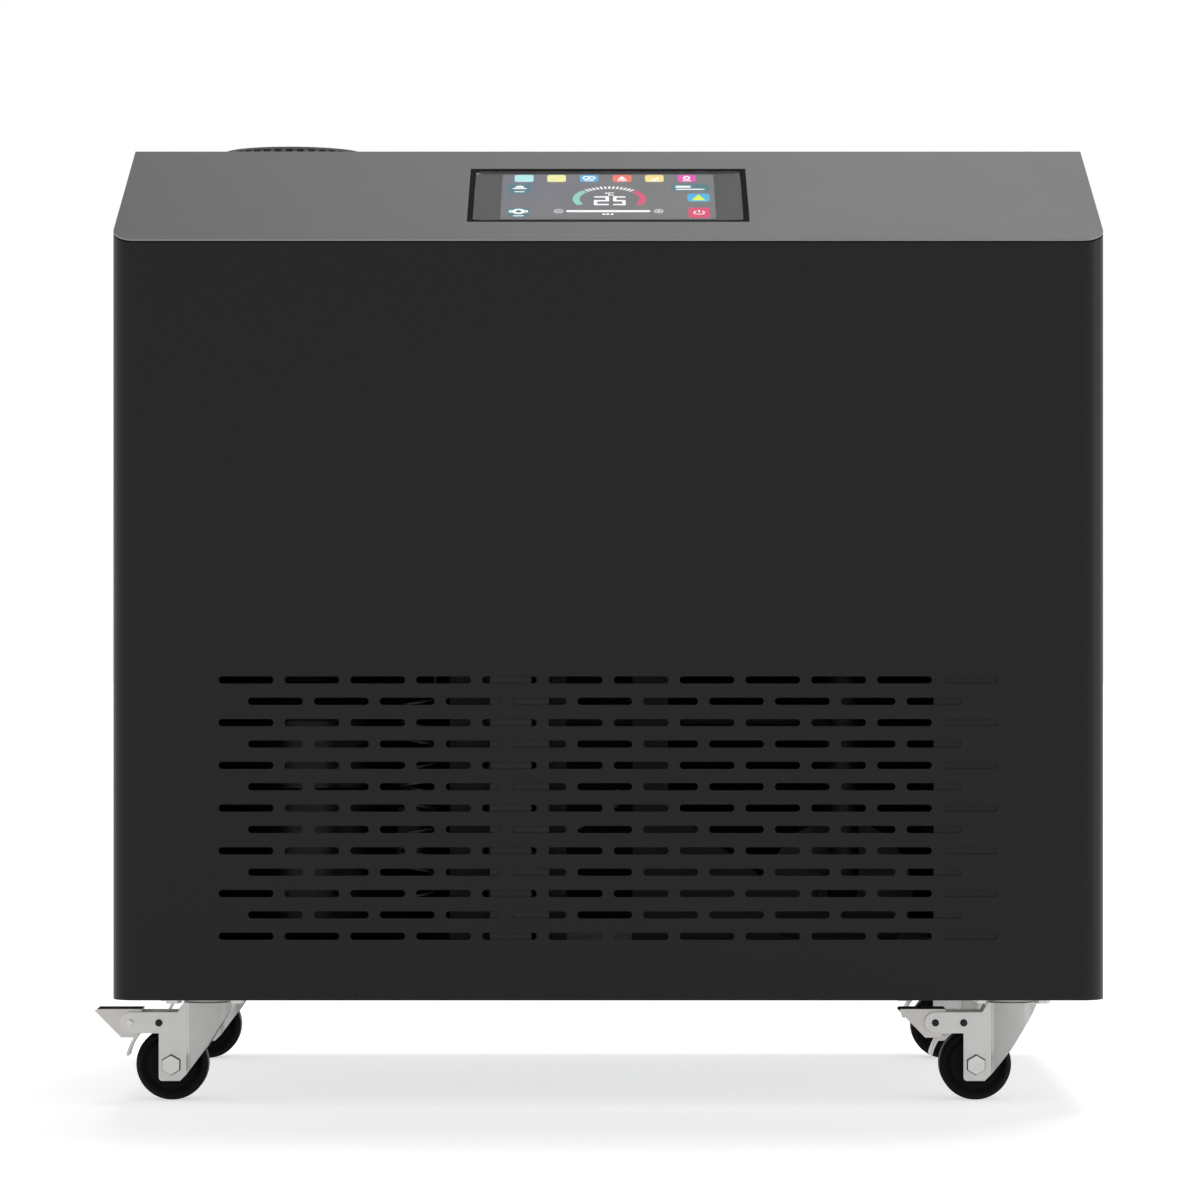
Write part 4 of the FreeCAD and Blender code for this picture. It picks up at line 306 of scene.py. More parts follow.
# Near black for the brake rivet and pivot heads and the plates under the axle heads: painted shade.
painted_shade_black = coat("painted_shade_near_black", (0.006, 0.006, 0.006), (0.014, 0.014, 0.014), 2, 0.45, 0, 0.4,
                   0.05, 0.3)
for corner in CORNERS:
    x = CASTOR_ACROSS if "right" in corner else -CASTOR_ACROSS
    y = CASTOR_ALONG if "rear" in corner else -CASTOR_ALONG
    for name, reach, foot in (("brake_rivets_", RIVET_REACH, RIVET_FOOT),
                              ("brake_pivots_", PIVOT_REACH, 0)):
        heads = [spun(RIVET_HEAD, (x - reach, y + side * (LEG_FACE + foot - SUNK), ARM_LEVEL),
                      (0, side, 0), steps=20) for side in (-1, 1)]
        plated = corner == "front_left" and name == "brake_pivots_"
        piece(name + corner, "castor_" + corner, "zinc_steel",
              bolt_zinc if plated else painted_shade_black, *heads)
    low, high = (np.array(end) * 1000 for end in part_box("castor_axle_" + corner))
    across, level = (low[0] + high[0]) / 2, (low[2] + high[2]) / 2
    reach = (high[2] - low[2]) / 2 + SHADE_RIM
    turn = math.radians(30) + np.arange(6) * math.pi / 3
    ring = np.column_stack([across + reach * np.cos(turn), level + reach * np.sin(turn)])
    # Each plate under an axle head is a painted shadow round the head.
    head_shades = []
    for side in (-1, 1):
        faces = [y + side * (LEG_FACE - SUNK), y + side * (LEG_FACE + SHADE_THICK)]
        rows = [np.column_stack([ring[:, 0], np.full(6, face), ring[:, 1]]) for face in faces]
        head_shades.append(skin(np.array(rows), around=True, capped=True))
    piece("bolt_head_shades_" + corner, "castor_" + corner, "zinc_steel", painted_shade_black, *head_shades)

# Compressor: a deep-drawn can in two halves with a welded seam, painted black, on rubber
# grommets; its terminals sit under a clipped plastic cover.
can_black = coat("compressor_enamel", (0.010, 0.010, 0.011), (0.018, 0.018, 0.019), 60, 0.28, 0,
                 1.2, 0.08)
grommet_rubber = coat("grommet_rubber", (0.016, 0.016, 0.016), (0.026, 0.026, 0.026), 5, 0.65, 0,
                      0.4, 0.1)
eased(can_black, 0.4, "compressor")
eased(grommet_rubber, 0.4, "compressor_feet")
CAN_X, CAN_Y, CAN_FOOT, CAN_RADIUS = -230.0, 15.0, 94.0, 76.0
WELD = [(CAN_RADIUS - 1, 118), (CAN_RADIUS + 2.2, 118.8), (CAN_RADIUS + 3, 120.5),
        (CAN_RADIUS + 3, 123), (CAN_RADIUS + 2.2, 124.5), (CAN_RADIUS - 1, 125.5)]
piece("compressor_seam", "cabinet", "compressor_paint", can_black,
      spun(WELD, (CAN_X, CAN_Y, CAN_FOOT), (0, 0, 1), steps=96))


def block(middle, half, power=6.0, steps=40):
    """A soft-edged box: a sphere whose cosines and sines are raised to two over a power,
    so that its sides flatten, scaled to the half sizes."""
    def shaped(value):
        return np.sign(value) * np.abs(value) ** (2.0 / power)
    turn = np.arange(steps) * 2 * math.pi / steps
    rise = np.linspace(-math.pi / 2, math.pi / 2, steps // 2 + 1)
    ring = shaped(np.cos(rise))[:, None]
    points = np.stack([ring * shaped(np.cos(turn)), ring * shaped(np.sin(turn)),
                       shaped(np.sin(rise))[:, None] * np.ones_like(turn)], axis=-1)
    return skin(np.array(middle, float) + points * np.array(half, float), around=True)


COVER_MIDDLE, COVER_HALF = (CAN_X + CAN_RADIUS + 6, CAN_Y - 8, CAN_FOOT + 88), (12, 24, 26)
terminal_black = coat("terminal_cover", (0.014, 0.014, 0.015), (0.022, 0.022, 0.023), 8, 0.45, 0,
                      0.5, 0.08)
piece("compressor_terminal_cover", "cabinet", "black_plastic", terminal_black,
      block(COVER_MIDDLE, COVER_HALF, power=7))

# Heat exchanger: a moulded black barrel with hose ports and two screw caps. Each cap has
# ribs round its rim for the grip.
barrel_black = coat("exchanger_barrel", (0.012, 0.012, 0.014), (0.020, 0.020, 0.022), 40, 0.4, 0,
                    1.0, 0.06)
eased(barrel_black, 0.6, "heat_exchanger")


def fluted(middle, rise, radius, depth, count):
    """An upright ring whose outer radius waves: radius minus depth times the square of the
    sine of half the rib count times the angle; its inner wall is plain."""
    steps = 8 * count
    turn = np.arange(steps) * 2 * math.pi / steps
    outer = radius - depth * np.sin(count * turn / 2) ** 2
    inner = np.full(steps, radius - 3 * depth)
    reach = np.stack([inner, outer, outer, inner], axis=1)
    height = np.array([0, 0, rise, rise], float)
    points = np.stack([reach * np.cos(turn)[:, None], reach * np.sin(turn)[:, None],
                       np.broadcast_to(height, reach.shape)], axis=-1)
    return skin(np.array(middle, float) + points, around=True, along=True)


BARREL_X, BARREL_Y, BARREL_FOOT, BARREL_RISE = -100.0, 140.0, 78.0, 330.0
CAP_RISE, CAP_INSET, CAP_RADIUS, GRIP_DEPTH, GRIP_COUNT = 18, 3, 62.6, 1.6, 36
caps = [fluted((BARREL_X, BARREL_Y, BARREL_FOOT + z), CAP_RISE, CAP_RADIUS, GRIP_DEPTH,
               GRIP_COUNT) for z in (CAP_INSET, BARREL_RISE - CAP_RISE - CAP_INSET)]
piece("exchanger_cap_ribs", "cabinet", "barrel_plastic", barrel_black, *caps)

# Pump: a sealed motor and a volute with a bolted face, both in black castings. Tapered
# cooling ribs stand round the motor.
pump_black = coat("pump_housing", (0.018, 0.018, 0.019), (0.030, 0.030, 0.031), 20, 0.42, 0,
                  0.8, 0.1)
eased(pump_black, 0.5, "pump")
PUMP_X, PUMP_Z, RIB_START, RIB_END, RIB_COUNT = 171.0, 142.0, -12.0, 82.0, 24
RIB_SECTION = ((45, -1.3), (51, -0.8), (51, 0.8), (45, 1.3))
run = np.array([RIB_START, RIB_END])[:, None, None] * np.array([0, 1.0, 0])
ribs = []
for k in range(RIB_COUNT):
    turn = 2 * math.pi * k / RIB_COUNT
    out = np.array([math.cos(turn), 0, math.sin(turn)])
    across = np.array([-math.sin(turn), 0, math.cos(turn)])
    section = np.array([(PUMP_X, 0, PUMP_Z) + out * reach + across * half
                        for reach, half in RIB_SECTION])
    ribs.append(skin(section[None] + run, around=True, capped=True))
piece("pump_ribs", "cabinet", "black_plastic", pump_black, *ribs)

# Filter: a moulded head on a bracket, a smoked clear bowl screwed into it, and a cartridge
# of pleated fleece in the bowl.
head_black = coat("filter_head", (0.026, 0.026, 0.030), (0.038, 0.038, 0.042), 20, 0.4, 0,
                  0.8, 0.06)
eased(head_black, 0.5, "filter_head")
smoked = coat("smoked_bowl", (0.10, 0.12, 0.13), (0.13, 0.15, 0.16), 30, 0.08, 0, 2.0, 0.01)


def see_through(material, share, bend):
    """Let a share of the light through a material, and bend it by an index."""
    shader = material.node_tree.nodes["Principled BSDF"]
    shader.inputs["Transmission Weight"].default_value = share
    shader.inputs["IOR"].default_value = bend


see_through(smoked, 0.9, 1.5)
eased(smoked, 0.4, "filter_bowl")
fleece = coat("pleated_fleece", (0.16, 0.16, 0.15), (0.22, 0.22, 0.21), 5, 0.9, 0, 0.5, 0.2)
FILTER_X, FILTER_Y, CARTRIDGE_FOOT, CARTRIDGE_RISE = 276.0, -108.0, 178.0, 243.0
CORE_RADIUS, PLEAT_RADIUS, PLEAT_DEPTH, PLEAT_COUNT, PLEAT_STEPS = 14.0, 27, 7, 40, 480
# The outer radius goes in and out with the angle, in a triangle wave of as many turns as
# there are pleats; the core is round.
turn = np.arange(PLEAT_STEPS) * 2 * math.pi / PLEAT_STEPS
fold = np.abs(((turn * PLEAT_COUNT / (2 * math.pi)) % 1) * 2 - 1)
core, outer = np.full(PLEAT_STEPS, CORE_RADIUS), PLEAT_RADIUS + PLEAT_DEPTH * fold
reach = np.stack([core, outer, outer, core], axis=1)
level = np.broadcast_to(np.array([0, 0, CARTRIDGE_RISE, CARTRIDGE_RISE]), reach.shape)
pleats = np.stack([reach * np.cos(turn)[:, None], reach * np.sin(turn)[:, None], level], axis=-1)
cartridge = piece("filter_pleats", "cabinet", "filter_media", fleece,
                  skin(pleats + np.array([FILTER_X, FILTER_Y, CARTRIDGE_FOOT]), along=True))
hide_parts("filter_cartridge")

# Condenser: thin aluminium fins with a black coat, on a copper tube that runs to and fro
# through them, between two side plates. The other pipes of the cold circuit are brazed on,
# of dull copper but for the tinned capillary.
fin_black = coat("coated_fin", (0.010, 0.010, 0.011), (0.018, 0.018, 0.019), 12, 0.5, 0, 1.0,
                 0.05, 0.3)
copper = coat("dull_copper", (0.10, 0.055, 0.040), (0.17, 0.095, 0.070), 16, 0.4, 0.8, 1.0, 0.04)
tinned = coat("tinned_tube", (0.10, 0.10, 0.10), (0.16, 0.16, 0.16), 8, 0.4, 0.6, 0.6, 0.04)
COIL_LEFT, COIL_SIDE, COIL_FRONT, COIL_DEPTH, COIL_FOOT = 30.0, 284.0, 94.0, 44.0, 194.0
FIN_COUNT, FIN_THICK, FIN_WAVE, FIN_INSET, SIDE_THICK = 120, 0.35, 1.2, 2, 1.2


def raised(plan):
    """A closed sheet as high as the coil, over its outline of (across, back) points."""
    rows = [np.column_stack([plan, np.full(len(plan), z)])
            for z in (COIL_FOOT, COIL_FOOT + COIL_SIDE)]
    return skin(np.array(rows), around=True, capped=True)


# A fin's two faces lie its thickness apart, and swing sideways by a sine of two turns.
back = np.linspace(0, 1, 9)
wave = FIN_WAVE * np.sin(back * 4 * math.pi)
fins = []
for k in range(FIN_COUNT):
    x = COIL_LEFT + FIN_INSET + (COIL_SIDE - 2 * FIN_INSET) * k / (FIN_COUNT - 1)
    near = np.stack([x - FIN_THICK / 2 + wave, COIL_FRONT + COIL_DEPTH * back], axis=1)
    fins.append(raised(np.concatenate([near, near[::-1] + (FIN_THICK, 0)])))
for x in (COIL_LEFT, COIL_LEFT + COIL_SIDE - SIDE_THICK):
    fins.append(raised([(x, COIL_FRONT), (x + SIDE_THICK, COIL_FRONT),
                        (x + SIDE_THICK, COIL_FRONT + COIL_DEPTH), (x, COIL_FRONT + COIL_DEPTH)]))
pack = piece("condenser_fin_pack", "cabinet", "fin_aluminium", fin_black, *fins)
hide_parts("condenser_fins")
eased(copper, 0, "condenser_tubes", "discharge_pipe", "suction_pipe", "filter_drier")
eased(tinned, 0, "capillary_tube")

# Hoses: reinforced black rubber, each end pushed over its port and held there by a steel
# band with a worm screw.
hose_black = coat("hose_rubber", (0.012, 0.012, 0.012), (0.020, 0.020, 0.020), 12, 0.6, 0,
                  0.7, 0.12)
band_steel = coat("band_steel", (0.16, 0.16, 0.16), (0.24, 0.24, 0.24), 6, 0.36, 0.8, 0.5, 0.03)
eased(hose_black, 0, "inlet_hose", "suction_hose", "pump_hose", "outlet_hose")
HOSE_RADIUS, WORM_ALONG, WORM_OUT, WORM_ACROSS = 11.0, 5.2, 3.2, 6.5
BAND = [(HOSE_RADIUS - 0.1, -4.5), (HOSE_RADIUS + 0.5, -4.5), (HOSE_RADIUS + 0.7, -3.5),
        (HOSE_RADIUS + 0.7, 3.5), (HOSE_RADIUS + 0.5, 4.5), (HOSE_RADIUS - 0.1, 4.5)]
# For each band its middle, the hose's direction there, and the side with the worm screw.
BANDED_ENDS = (
    ((171, -76, 142), (0, 1, 0), (0, 0, 1)), ((171, -37, 220), (0, 0, 1), (0, -1, 0)),
    ((-100, 67, 138), (0, 1, 0), (0, 0, 1)), ((300, 190, 506), (0, 1, 0), (0, 0, 1)),
    ((-2, 190, 362), (0, 1, 0), (0, 0, 1)), ((-27, 140, 362), (1, 0, 0), (0, 0, 1)),
    ((276, -32, 427), (0, 1, 0), (0, 0, 1)), ((202, -108, 427), (1, 0, 0), (0, 0, 1)))
bands = []
for middle, axis, worm in BANDED_ENDS:
    bands.append(spun(BAND, middle, axis))
    across = np.cross(axis, worm)
    seat = np.array(middle) + np.array(worm) * (HOSE_RADIUS + WORM_OUT)
    half = np.abs(axis) * WORM_ALONG + np.abs(worm) * WORM_OUT + np.abs(across) * WORM_ACROSS
    bands.append(block(seat, half, power=5, steps=20))
piece("hose_clamps", "cabinet", "zinc_steel", band_steel, *bands)

# Uprights behind the intake: a hat channel with oblong holes and an angle with a splayed foot, both
# of sheet coloured near black as painted shade, so that little shows through the slots.
# Near-black sheet for the uprights and the fan shroud: painted shade inside the cabinet.
sheet_painted_shade = coat("sheet_painted_shade", (0.009, 0.009, 0.009), (0.014, 0.014, 0.014), 12, 0.5, 0, 1.0,
                  0.05, 0.25)
eased(sheet_painted_shade, 0.3, "centre_post", "inner_upright")

# Cabinet sheet: the front and both sides are one folded steel sheet, powder coated in
# satin black, as the cover, the rear panel and the blanking plate behind the slots are.
# The cover's upright edges carry a painted highlight in a light colour.
powder_black = coat("satin_powder_coat", (0.0040, 0.0040, 0.0040), (0.0050, 0.0050, 0.0050), 90,
                    0.40, 0, 0.9, 0.05, 0.24)
edge_painted_highlight = coat("cover_edge_painted_highlight", (0.32, 0.32, 0.32), (0.40, 0.40, 0.40), 25, 0.5, 0, 0.9,
                 0.05, 0.3)
EDGE_LEAN = 0.3
eased(powder_black, 0.35, "front_shell")
# The light colour on the cover's upright edges is a painted highlight.
eased(powder_black, 0.3, "top_cover", second=edge_painted_highlight,
      where=lambda face: abs(face.normal.z) < EDGE_LEAN)
eased(powder_black, 0.3, "rear_panel", "blanking_plate")

# Rear fittings: two turned brass unions with a cut pipe thread, for the water, and a
# moulded black power inlet with three plated pins and a rocker switch.
brass = coat("turned_brass", (0.60, 0.44, 0.20), (0.76, 0.58, 0.30), 6, 0.28, 0.95, 0.4, 0.05)
PANEL_BACK = 211.5
THREAD_PITCH, THREAD_DEPTH = 2.3, 1.3


def threaded_union(x, z):
    """A hollow turned fitting. Its outline is turned about Y, and between the thread's two
    ends the outer radius drops by a triangle wave of along over pitch less angle over a
    full turn."""
    outline = [(7.8, -27.5), (7.8, -7.5), (20.1, -7.5), (20.1, -1.5), (16.6, -1.5), (16.6, 0),
               (22, 0), (22, 5), (15.2, 5), (15.2, 6.5)]
    steps, start, end, crest = 72, 6.5, 26.2, 16.6
    along = np.linspace(start, end, 69)
    outline += [(crest, a) for a in along]
    outline += [(15.4, 27), (13.6, 27), (13.6, 4), (5, -4), (5, -27.5)]
    radius, level = np.array(outline).T
    turn = np.arange(steps) / steps
    phase = (level[None, :] / THREAD_PITCH - turn[:, None]) % 1
    cut = THREAD_DEPTH * np.abs(2 * phase - 1)
    inside = (level > start - 0.01) & (level < end + 0.01) & (radius > crest - 0.01)
    reach = radius[None, :] - np.where(inside[None, :], cut, 0)
    points = np.stack([x + reach * np.cos(2 * math.pi * turn)[:, None],
                       np.broadcast_to(PANEL_BACK + level, reach.shape),
                       z + reach * np.sin(2 * math.pi * turn)[:, None]], axis=-1)
    return skin(points, around=True, along=True)


for node, x, z in (("water_outlet", -2.0, 362.0), ("water_inlet", 300.0, 506.0)):
    union = piece(node + "_union", "cabinet", "brass_fitting", brass, threaded_union(x, z),
                  sharp=50)
    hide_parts(node)

inlet_black = coat("inlet_moulding", (0.018, 0.018, 0.018), (0.028, 0.028, 0.028), 6, 0.38, 0,
                   0.5, 0.06)
rocker_gloss = coat("rocker_gloss", (0.022, 0.022, 0.022), (0.030, 0.030, 0.030), 5, 0.2, 0,
                    0.5, 0.02)
eased(inlet_black, 0.4, "power_inlet")
eased(rocker_gloss, 0.4, "rocker")
pin_metal = coat("pin_nickel", (0.55, 0.53, 0.48), (0.68, 0.66, 0.60), 2, 0.25, 0.9, 0.3, 0.03)
POWER_X, POWER_Z, PIN_SUNK = -250.0, 146.0, 15.4
PIN = [(0, 0), (1.75, 0), (1.75, 12.6), (1.2, 13.9), (0, 14.2)]
pins = [spun(PIN, (POWER_X + x, PANEL_BACK - PIN_SUNK, POWER_Z + z), (0, 1, 0), steps=20)
        for x, z in ((0, -9), (-6.5, -15), (6.5, -15))]
piece("power_pins", "cabinet", "zinc_steel", pin_metal, *pins)

# Control box: a moulded black box with a lid, which holds the board and the relays. It
# stands inside the cabinet.
box_black = coat("box_moulding", (0.012, 0.012, 0.012), (0.018, 0.018, 0.018), 30, 0.5, 0, 0.8,
                 0.08, 0.3)
eased(box_black, 0.6, "control_box")

# Condenser fan: a sheet shroud coloured near black as painted shade, a motor on four arms, five
# twisted blades and a guard of welded wire coated black.
eased(sheet_painted_shade, 0.3, "fan_shroud")
motor_grey = coat("motor_enamel", (0.07, 0.07, 0.072), (0.11, 0.11, 0.113), 20, 0.38, 0.3,
                  1.0, 0.08)
eased(motor_grey, 0.4, "fan_motor")
guard_black = coat("guard_coat", (0.014, 0.014, 0.014), (0.022, 0.022, 0.022), 10, 0.35, 0,
                   0.6, 0.06)
eased(guard_black, 0, "fan_guard")
blade_black = coat("blade_nylon", (0.020, 0.020, 0.021), (0.030, 0.030, 0.031), 20, 0.4, 0,
                   0.6, 0.06)


def twisted_blade(turn, root, tip, chord_root, chord_tip, pitch_root, pitch_tip, thick, sweep):
    """A blade that stands out along a radius at an angle of turn. Station s runs from root
    to tip and c across the chord: the chord line leans by the pitch at s, bows by a parabola
    in c and is swept forward with the square of s. Returned in axes (out, across, along the
    shaft)."""
    rows, spots = 15, 13
    s = np.linspace(0, 1, rows)[:, None]
    c = np.concatenate([np.linspace(-1, 1, spots), np.linspace(1, -1, spots)[1:-1]])[None, :]
    face = np.concatenate([np.ones(spots), -np.ones(spots - 2)])[None, :]
    chord = (chord_root + (chord_tip - chord_root) * s) / 2 * np.sqrt(1 - 0.25 * s ** 6)
    pitch = np.radians(pitch_root + (pitch_tip - pitch_root) * s)
    half = thick / 2 * (1 - 0.55 * np.abs(c) ** 2) * (1 - 0.4 * s)
    bow = 0.10 * chord * (1 - c ** 2) + face * half
    flat = chord * c + sweep * s ** 2
    across = flat * np.cos(pitch) - bow * np.sin(pitch)
    lengthwise = flat * np.sin(pitch) + bow * np.cos(pitch)
    out = np.sqrt(np.maximum((root + (tip - root) * s) ** 2 - across ** 2, root ** 2 / 2))
    spun_out = out * math.cos(turn) - across * math.sin(turn)
    spun_across = out * math.sin(turn) + across * math.cos(turn)
    return np.stack(np.broadcast_arrays(spun_out, spun_across, lengthwise), axis=-1)


FAN_X, FAN_Y, FAN_Z, FAN_BLADES = 172.0, 162.0, 336.0, 5
FAN_HUB = [(5.05, -11), (30, -11), (33.2, -9.5), (34, -7), (34, 9.5), (33, 11.2), (30.5, 11.4),
           (30.5, 6), (10, 6), (10, 11.4), (5.05, 11.4)]
fan = []
for k in range(FAN_BLADES):
    local = twisted_blade(2 * math.pi * k / FAN_BLADES, root=30, tip=117, chord_root=50,
                          chord_tip=64, pitch_root=30, pitch_tip=20, thick=2.4, sweep=5)
    points = np.stack([FAN_X + local[..., 0], FAN_Y + local[..., 2], FAN_Z + local[..., 1]],
                      axis=-1)
    fan.append(skin(points, around=True, capped=True))
fan.append(spun(FAN_HUB, (FAN_X, FAN_Y, FAN_Z), (0, 1, 0), steps=72))
blades = piece("fan_wheel", "cooling_fan", "black_plastic", blade_black, *fan)
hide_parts("fan_blades")

# Vent: a small square fan under the flat top, and a barred round guard over its hole, both moulded
# in black. The bars' outer faces carry a painted highlight in a lighter colour.
vent_black = coat("vent_moulding", (0.012, 0.012, 0.012), (0.019, 0.019, 0.019), 8, 0.42, 0,
                  0.5, 0.06)
eased(vent_black, 0.4, "vent_fan_frame")
VENT_X, VENT_Y, VENT_FLOOR, BARS_INSIDE, BARS_FOOT = -241.0, 80.0, 663.6, 51.5, 692.5
# A lighter colour for the bars' outer faces: a painted highlight.
bar_painted_highlight = coat("vent_bar_painted_highlight", (0.06, 0.06, 0.06), (0.46, 0.45, 0.45), 6, 0.6, 0, 0.5, 0.06)


def bar_face(face):
    """Whether a face is the outer side of one of the upright bars round the guard."""
    spot = face.calc_center_median() * 1000
    return math.hypot(spot.x - VENT_X, spot.y - VENT_Y) > BARS_INSIDE and spot.z > BARS_FOOT


eased(vent_black, 0.25, "vent_guard", second=bar_painted_highlight, where=bar_face)
VENT_BLADES, BLADE_LEVEL = 7, 14.6
VENT_HUB = [(0, 1.5), (2, 1.5), (2, 7.3), (17, 7.3), (18, 8.3), (18, 20.8), (17, 22.2), (0, 22.3)]
rotor = []
for k in range(VENT_BLADES):
    local = twisted_blade(2 * math.pi * k / VENT_BLADES, root=15, tip=41.8, chord_root=20,
                          chord_tip=25, pitch_root=42, pitch_tip=28, thick=1.8, sweep=4)
    points = local + np.array([VENT_X, VENT_Y, VENT_FLOOR + BLADE_LEVEL])
    rotor.append(skin(points, around=True, capped=True))
rotor.append(spun(VENT_HUB, (VENT_X, VENT_Y, VENT_FLOOR), (0, 0, 1), steps=60))
spinner = piece("vent_fan_wheel", "vent_rotor", "black_plastic", vent_black, *rotor)
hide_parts("vent_fan_rotor")

# Fasteners: zinc-plated bolts that hold the castors through the pan, and screws round the
# rear panel. Each screw gets a domed head with a cross recess.
eased(bolt_zinc, 0.3, "fasteners")
SCREW_X, SCREW_START, SCREW_STEP, SCREW_COUNT, SCREW_RADIUS = 342.0, 116.0, 158.667, 4, 3.9
SEAT, RIM_RISE, CROWN_RISE, CROSS_HALF, CROSS_REACH, CROSS_DEPTH = 1.9, 0.05, 1.35, 0.14, 0.62, 1.1
# A square grid is drawn into a disc. The head rises over it as an ellipse over the distance
# from the middle, and drops by the recess's depth inside the cross.
grid = np.linspace(-1, 1, 25)
across, upward = np.meshgrid(grid, grid, indexing="ij")
disc_x = across * np.sqrt(1 - upward ** 2 / 2)
disc_z = upward * np.sqrt(1 - across ** 2 / 2)
from_middle = np.sqrt(disc_x ** 2 + disc_z ** 2)
in_cross = ((np.minimum(np.abs(disc_x), np.abs(disc_z)) < CROSS_HALF)
            & (from_middle < CROSS_REACH))
crown = CROWN_RISE * np.sqrt(np.maximum(0, 1 - 0.9 * from_middle ** 2)) - CROSS_DEPTH * in_cross
heads = []
for x in (-SCREW_X, SCREW_X):
    for k in range(SCREW_COUNT):
        across = x + SCREW_RADIUS * disc_x
        level = SCREW_START + SCREW_STEP * k + SCREW_RADIUS * disc_z
        top = np.stack([across, PANEL_BACK + SEAT + RIM_RISE + crown, level], axis=-1)
        foot = np.stack([across, np.full_like(crown, PANEL_BACK + SEAT), level], axis=-1)
        heads.append(skin(np.concatenate([top, foot[:, ::-1]], axis=1), around=True))
        for row in (0, -1):
            heads.append(skin(np.stack([top[row], foot[row]]), around=False))
piece("screw_heads", "cabinet", "zinc_steel", bolt_zinc, *heads, sharp=40)

# Display: a moulded frame sunk in the slope, a black panel, and a pane of glass over it.
# The panel shows plain signs and digits, which are thin lit shapes on its face.
panel_black = coat("panel_black", (0.004, 0.004, 0.005), (0.006, 0.006, 0.007), 30, 0.5, 0, 0.6,
                   0.02, 0.02)
frame_black = coat("frame_moulding", (0.007, 0.007, 0.007), (0.010, 0.010, 0.010), 20, 0.8, 0,
                   0.5, 0.04, 0.03)
eased(frame_black, 0.3, "display_frame")
eased(panel_black, 0.3, "display_module")
SLOPE = math.radians(25)
SLOPE_FRONT, SLOPE_FOOT, LIT_FACE, TILE_STEPS = -210.0, 612.0, -2.5, 48


def on_slope(points):
    """Points given as (across, up the slope, out of the slope), set on the console."""
    across, up, out = points[..., 0], points[..., 1], points[..., 2]
    return np.stack([across, SLOPE_FRONT + up * math.cos(SLOPE) - out * math.sin(SLOPE),
                     SLOPE_FOOT + up * math.sin(SLOPE) + out * math.cos(SLOPE)], axis=-1)


def plate(outline, share, low, high):
    """A flat closed plate on the slope with an outline of (across, up) points. With a share
    above nought it is a ring, whose hole is the outline shrunk to its middle by that share."""
    outline = np.array(outline, float)
    middle = outline.mean(axis=0)
    shares = np.array([share, 1, 1, share])
    flat = middle + (outline - middle)[:, None, :] * shares[None, :, None]
    levels = np.broadcast_to(np.array([high, high, low, low], float), flat.shape[:2])
    return skin(on_slope(np.concatenate([flat, levels[..., None]], axis=-1).swapaxes(0, 1)),
                around=True, along=True)


def tile(left, right, bottom, top, power=7.0):
    """The outline of a rounded rectangle: cosine and sine raised to two over a power."""
    turn = np.arange(TILE_STEPS) * 2 * math.pi / TILE_STEPS
    x = np.sign(np.cos(turn)) * np.abs(np.cos(turn)) ** (2 / power)
    y = np.sign(np.sin(turn)) * np.abs(np.sin(turn)) ** (2 / power)
    return np.column_stack([(left + right) / 2 + (right - left) / 2 * x,
                            (bottom + top) / 2 + (top - bottom) / 2 * y])


def arc(middle, radius, band, start, end, low, high, steps=48):
    """A flat closed band round a point from one angle to another, in degrees."""
    turn = np.radians(np.linspace(start, end, steps))[:, None]
    reach = np.array([radius - band, radius, radius, radius - band])[None, :]
    level = np.broadcast_to(np.array([high, high, low, low], float), (steps, 4))
    points = np.stack([middle[0] + reach * np.cos(turn), middle[1] + reach * np.sin(turn), level],
                      axis=-1)
    return skin(on_slope(points), around=True, capped=True)


def lit(name, colour, strength):
    """A lit field of the panel: it glows in its colour, up to a twelfth less or more, and
    its own coat is a tenth of that colour, nearly matt."""
    made = coat(name, tuple(0.08 * c for c in colour), tuple(0.1 * c for c in colour), 6, 0.6, 0,
                1.0, 0.01, 0.02)
    nodes, links = made.node_tree.nodes, made.node_tree.links
    spot = nodes.new("ShaderNodeTexCoord")
    drift = nodes.new("ShaderNodeTexNoise")
    drift.inputs["Scale"].default_value = 220
    links.new(spot.outputs["Object"], drift.inputs["Vector"])
    glow = nodes.new("ShaderNodeMapRange")
    glow.inputs["To Min"].default_value = strength * 0.92
    glow.inputs["To Max"].default_value = strength * 1.08
    links.new(drift.outputs["Fac"], glow.inputs["Value"])
    shader = nodes["Principled BSDF"]
    shader.inputs["Emission Color"].default_value = (*colour, 1)
    links.new(glow.outputs["Result"], shader.inputs["Emission Strength"])
    return made


# The field glows in grey, and turns bluish near a spot at its upper left, set in metres.
FIELD, FIELD_GREY, HAZE_BLUE = (-77.0, 77.0, 44.4, 138.4), (0.66, 0.66, 0.66), (0.58, 0.56, 0.90)
HAZE_SPOT, HAZE_NEAR, HAZE_FAR = (-0.060, -0.105, 0.664), 0.010, 0.075
field_glow = lit("lit_field", FIELD_GREY, 0.125)
nodes, links = field_glow.node_tree.nodes, field_glow.node_tree.links
spot = nodes.new("ShaderNodeTexCoord")
reach = nodes.new("ShaderNodeVectorMath")
reach.operation = "DISTANCE"
reach.inputs[1].default_value = HAZE_SPOT
links.new(spot.outputs["Object"], reach.inputs[0])
haze = nodes.new("ShaderNodeMapRange")
haze.inputs["From Min"].default_value = HAZE_FAR
haze.inputs["From Max"].default_value = HAZE_NEAR
links.new(reach.outputs["Value"], haze.inputs["Value"])
tint = nodes.new("ShaderNodeMix")
tint.data_type = "RGBA"
tint.inputs["A"].default_value = (*FIELD_GREY, 1)
tint.inputs["B"].default_value = (*HAZE_BLUE, 1)
links.new(haze.outputs["Result"], tint.inputs["Factor"])
links.new(tint.outputs["Result"], nodes["Principled BSDF"].inputs["Emission Color"])
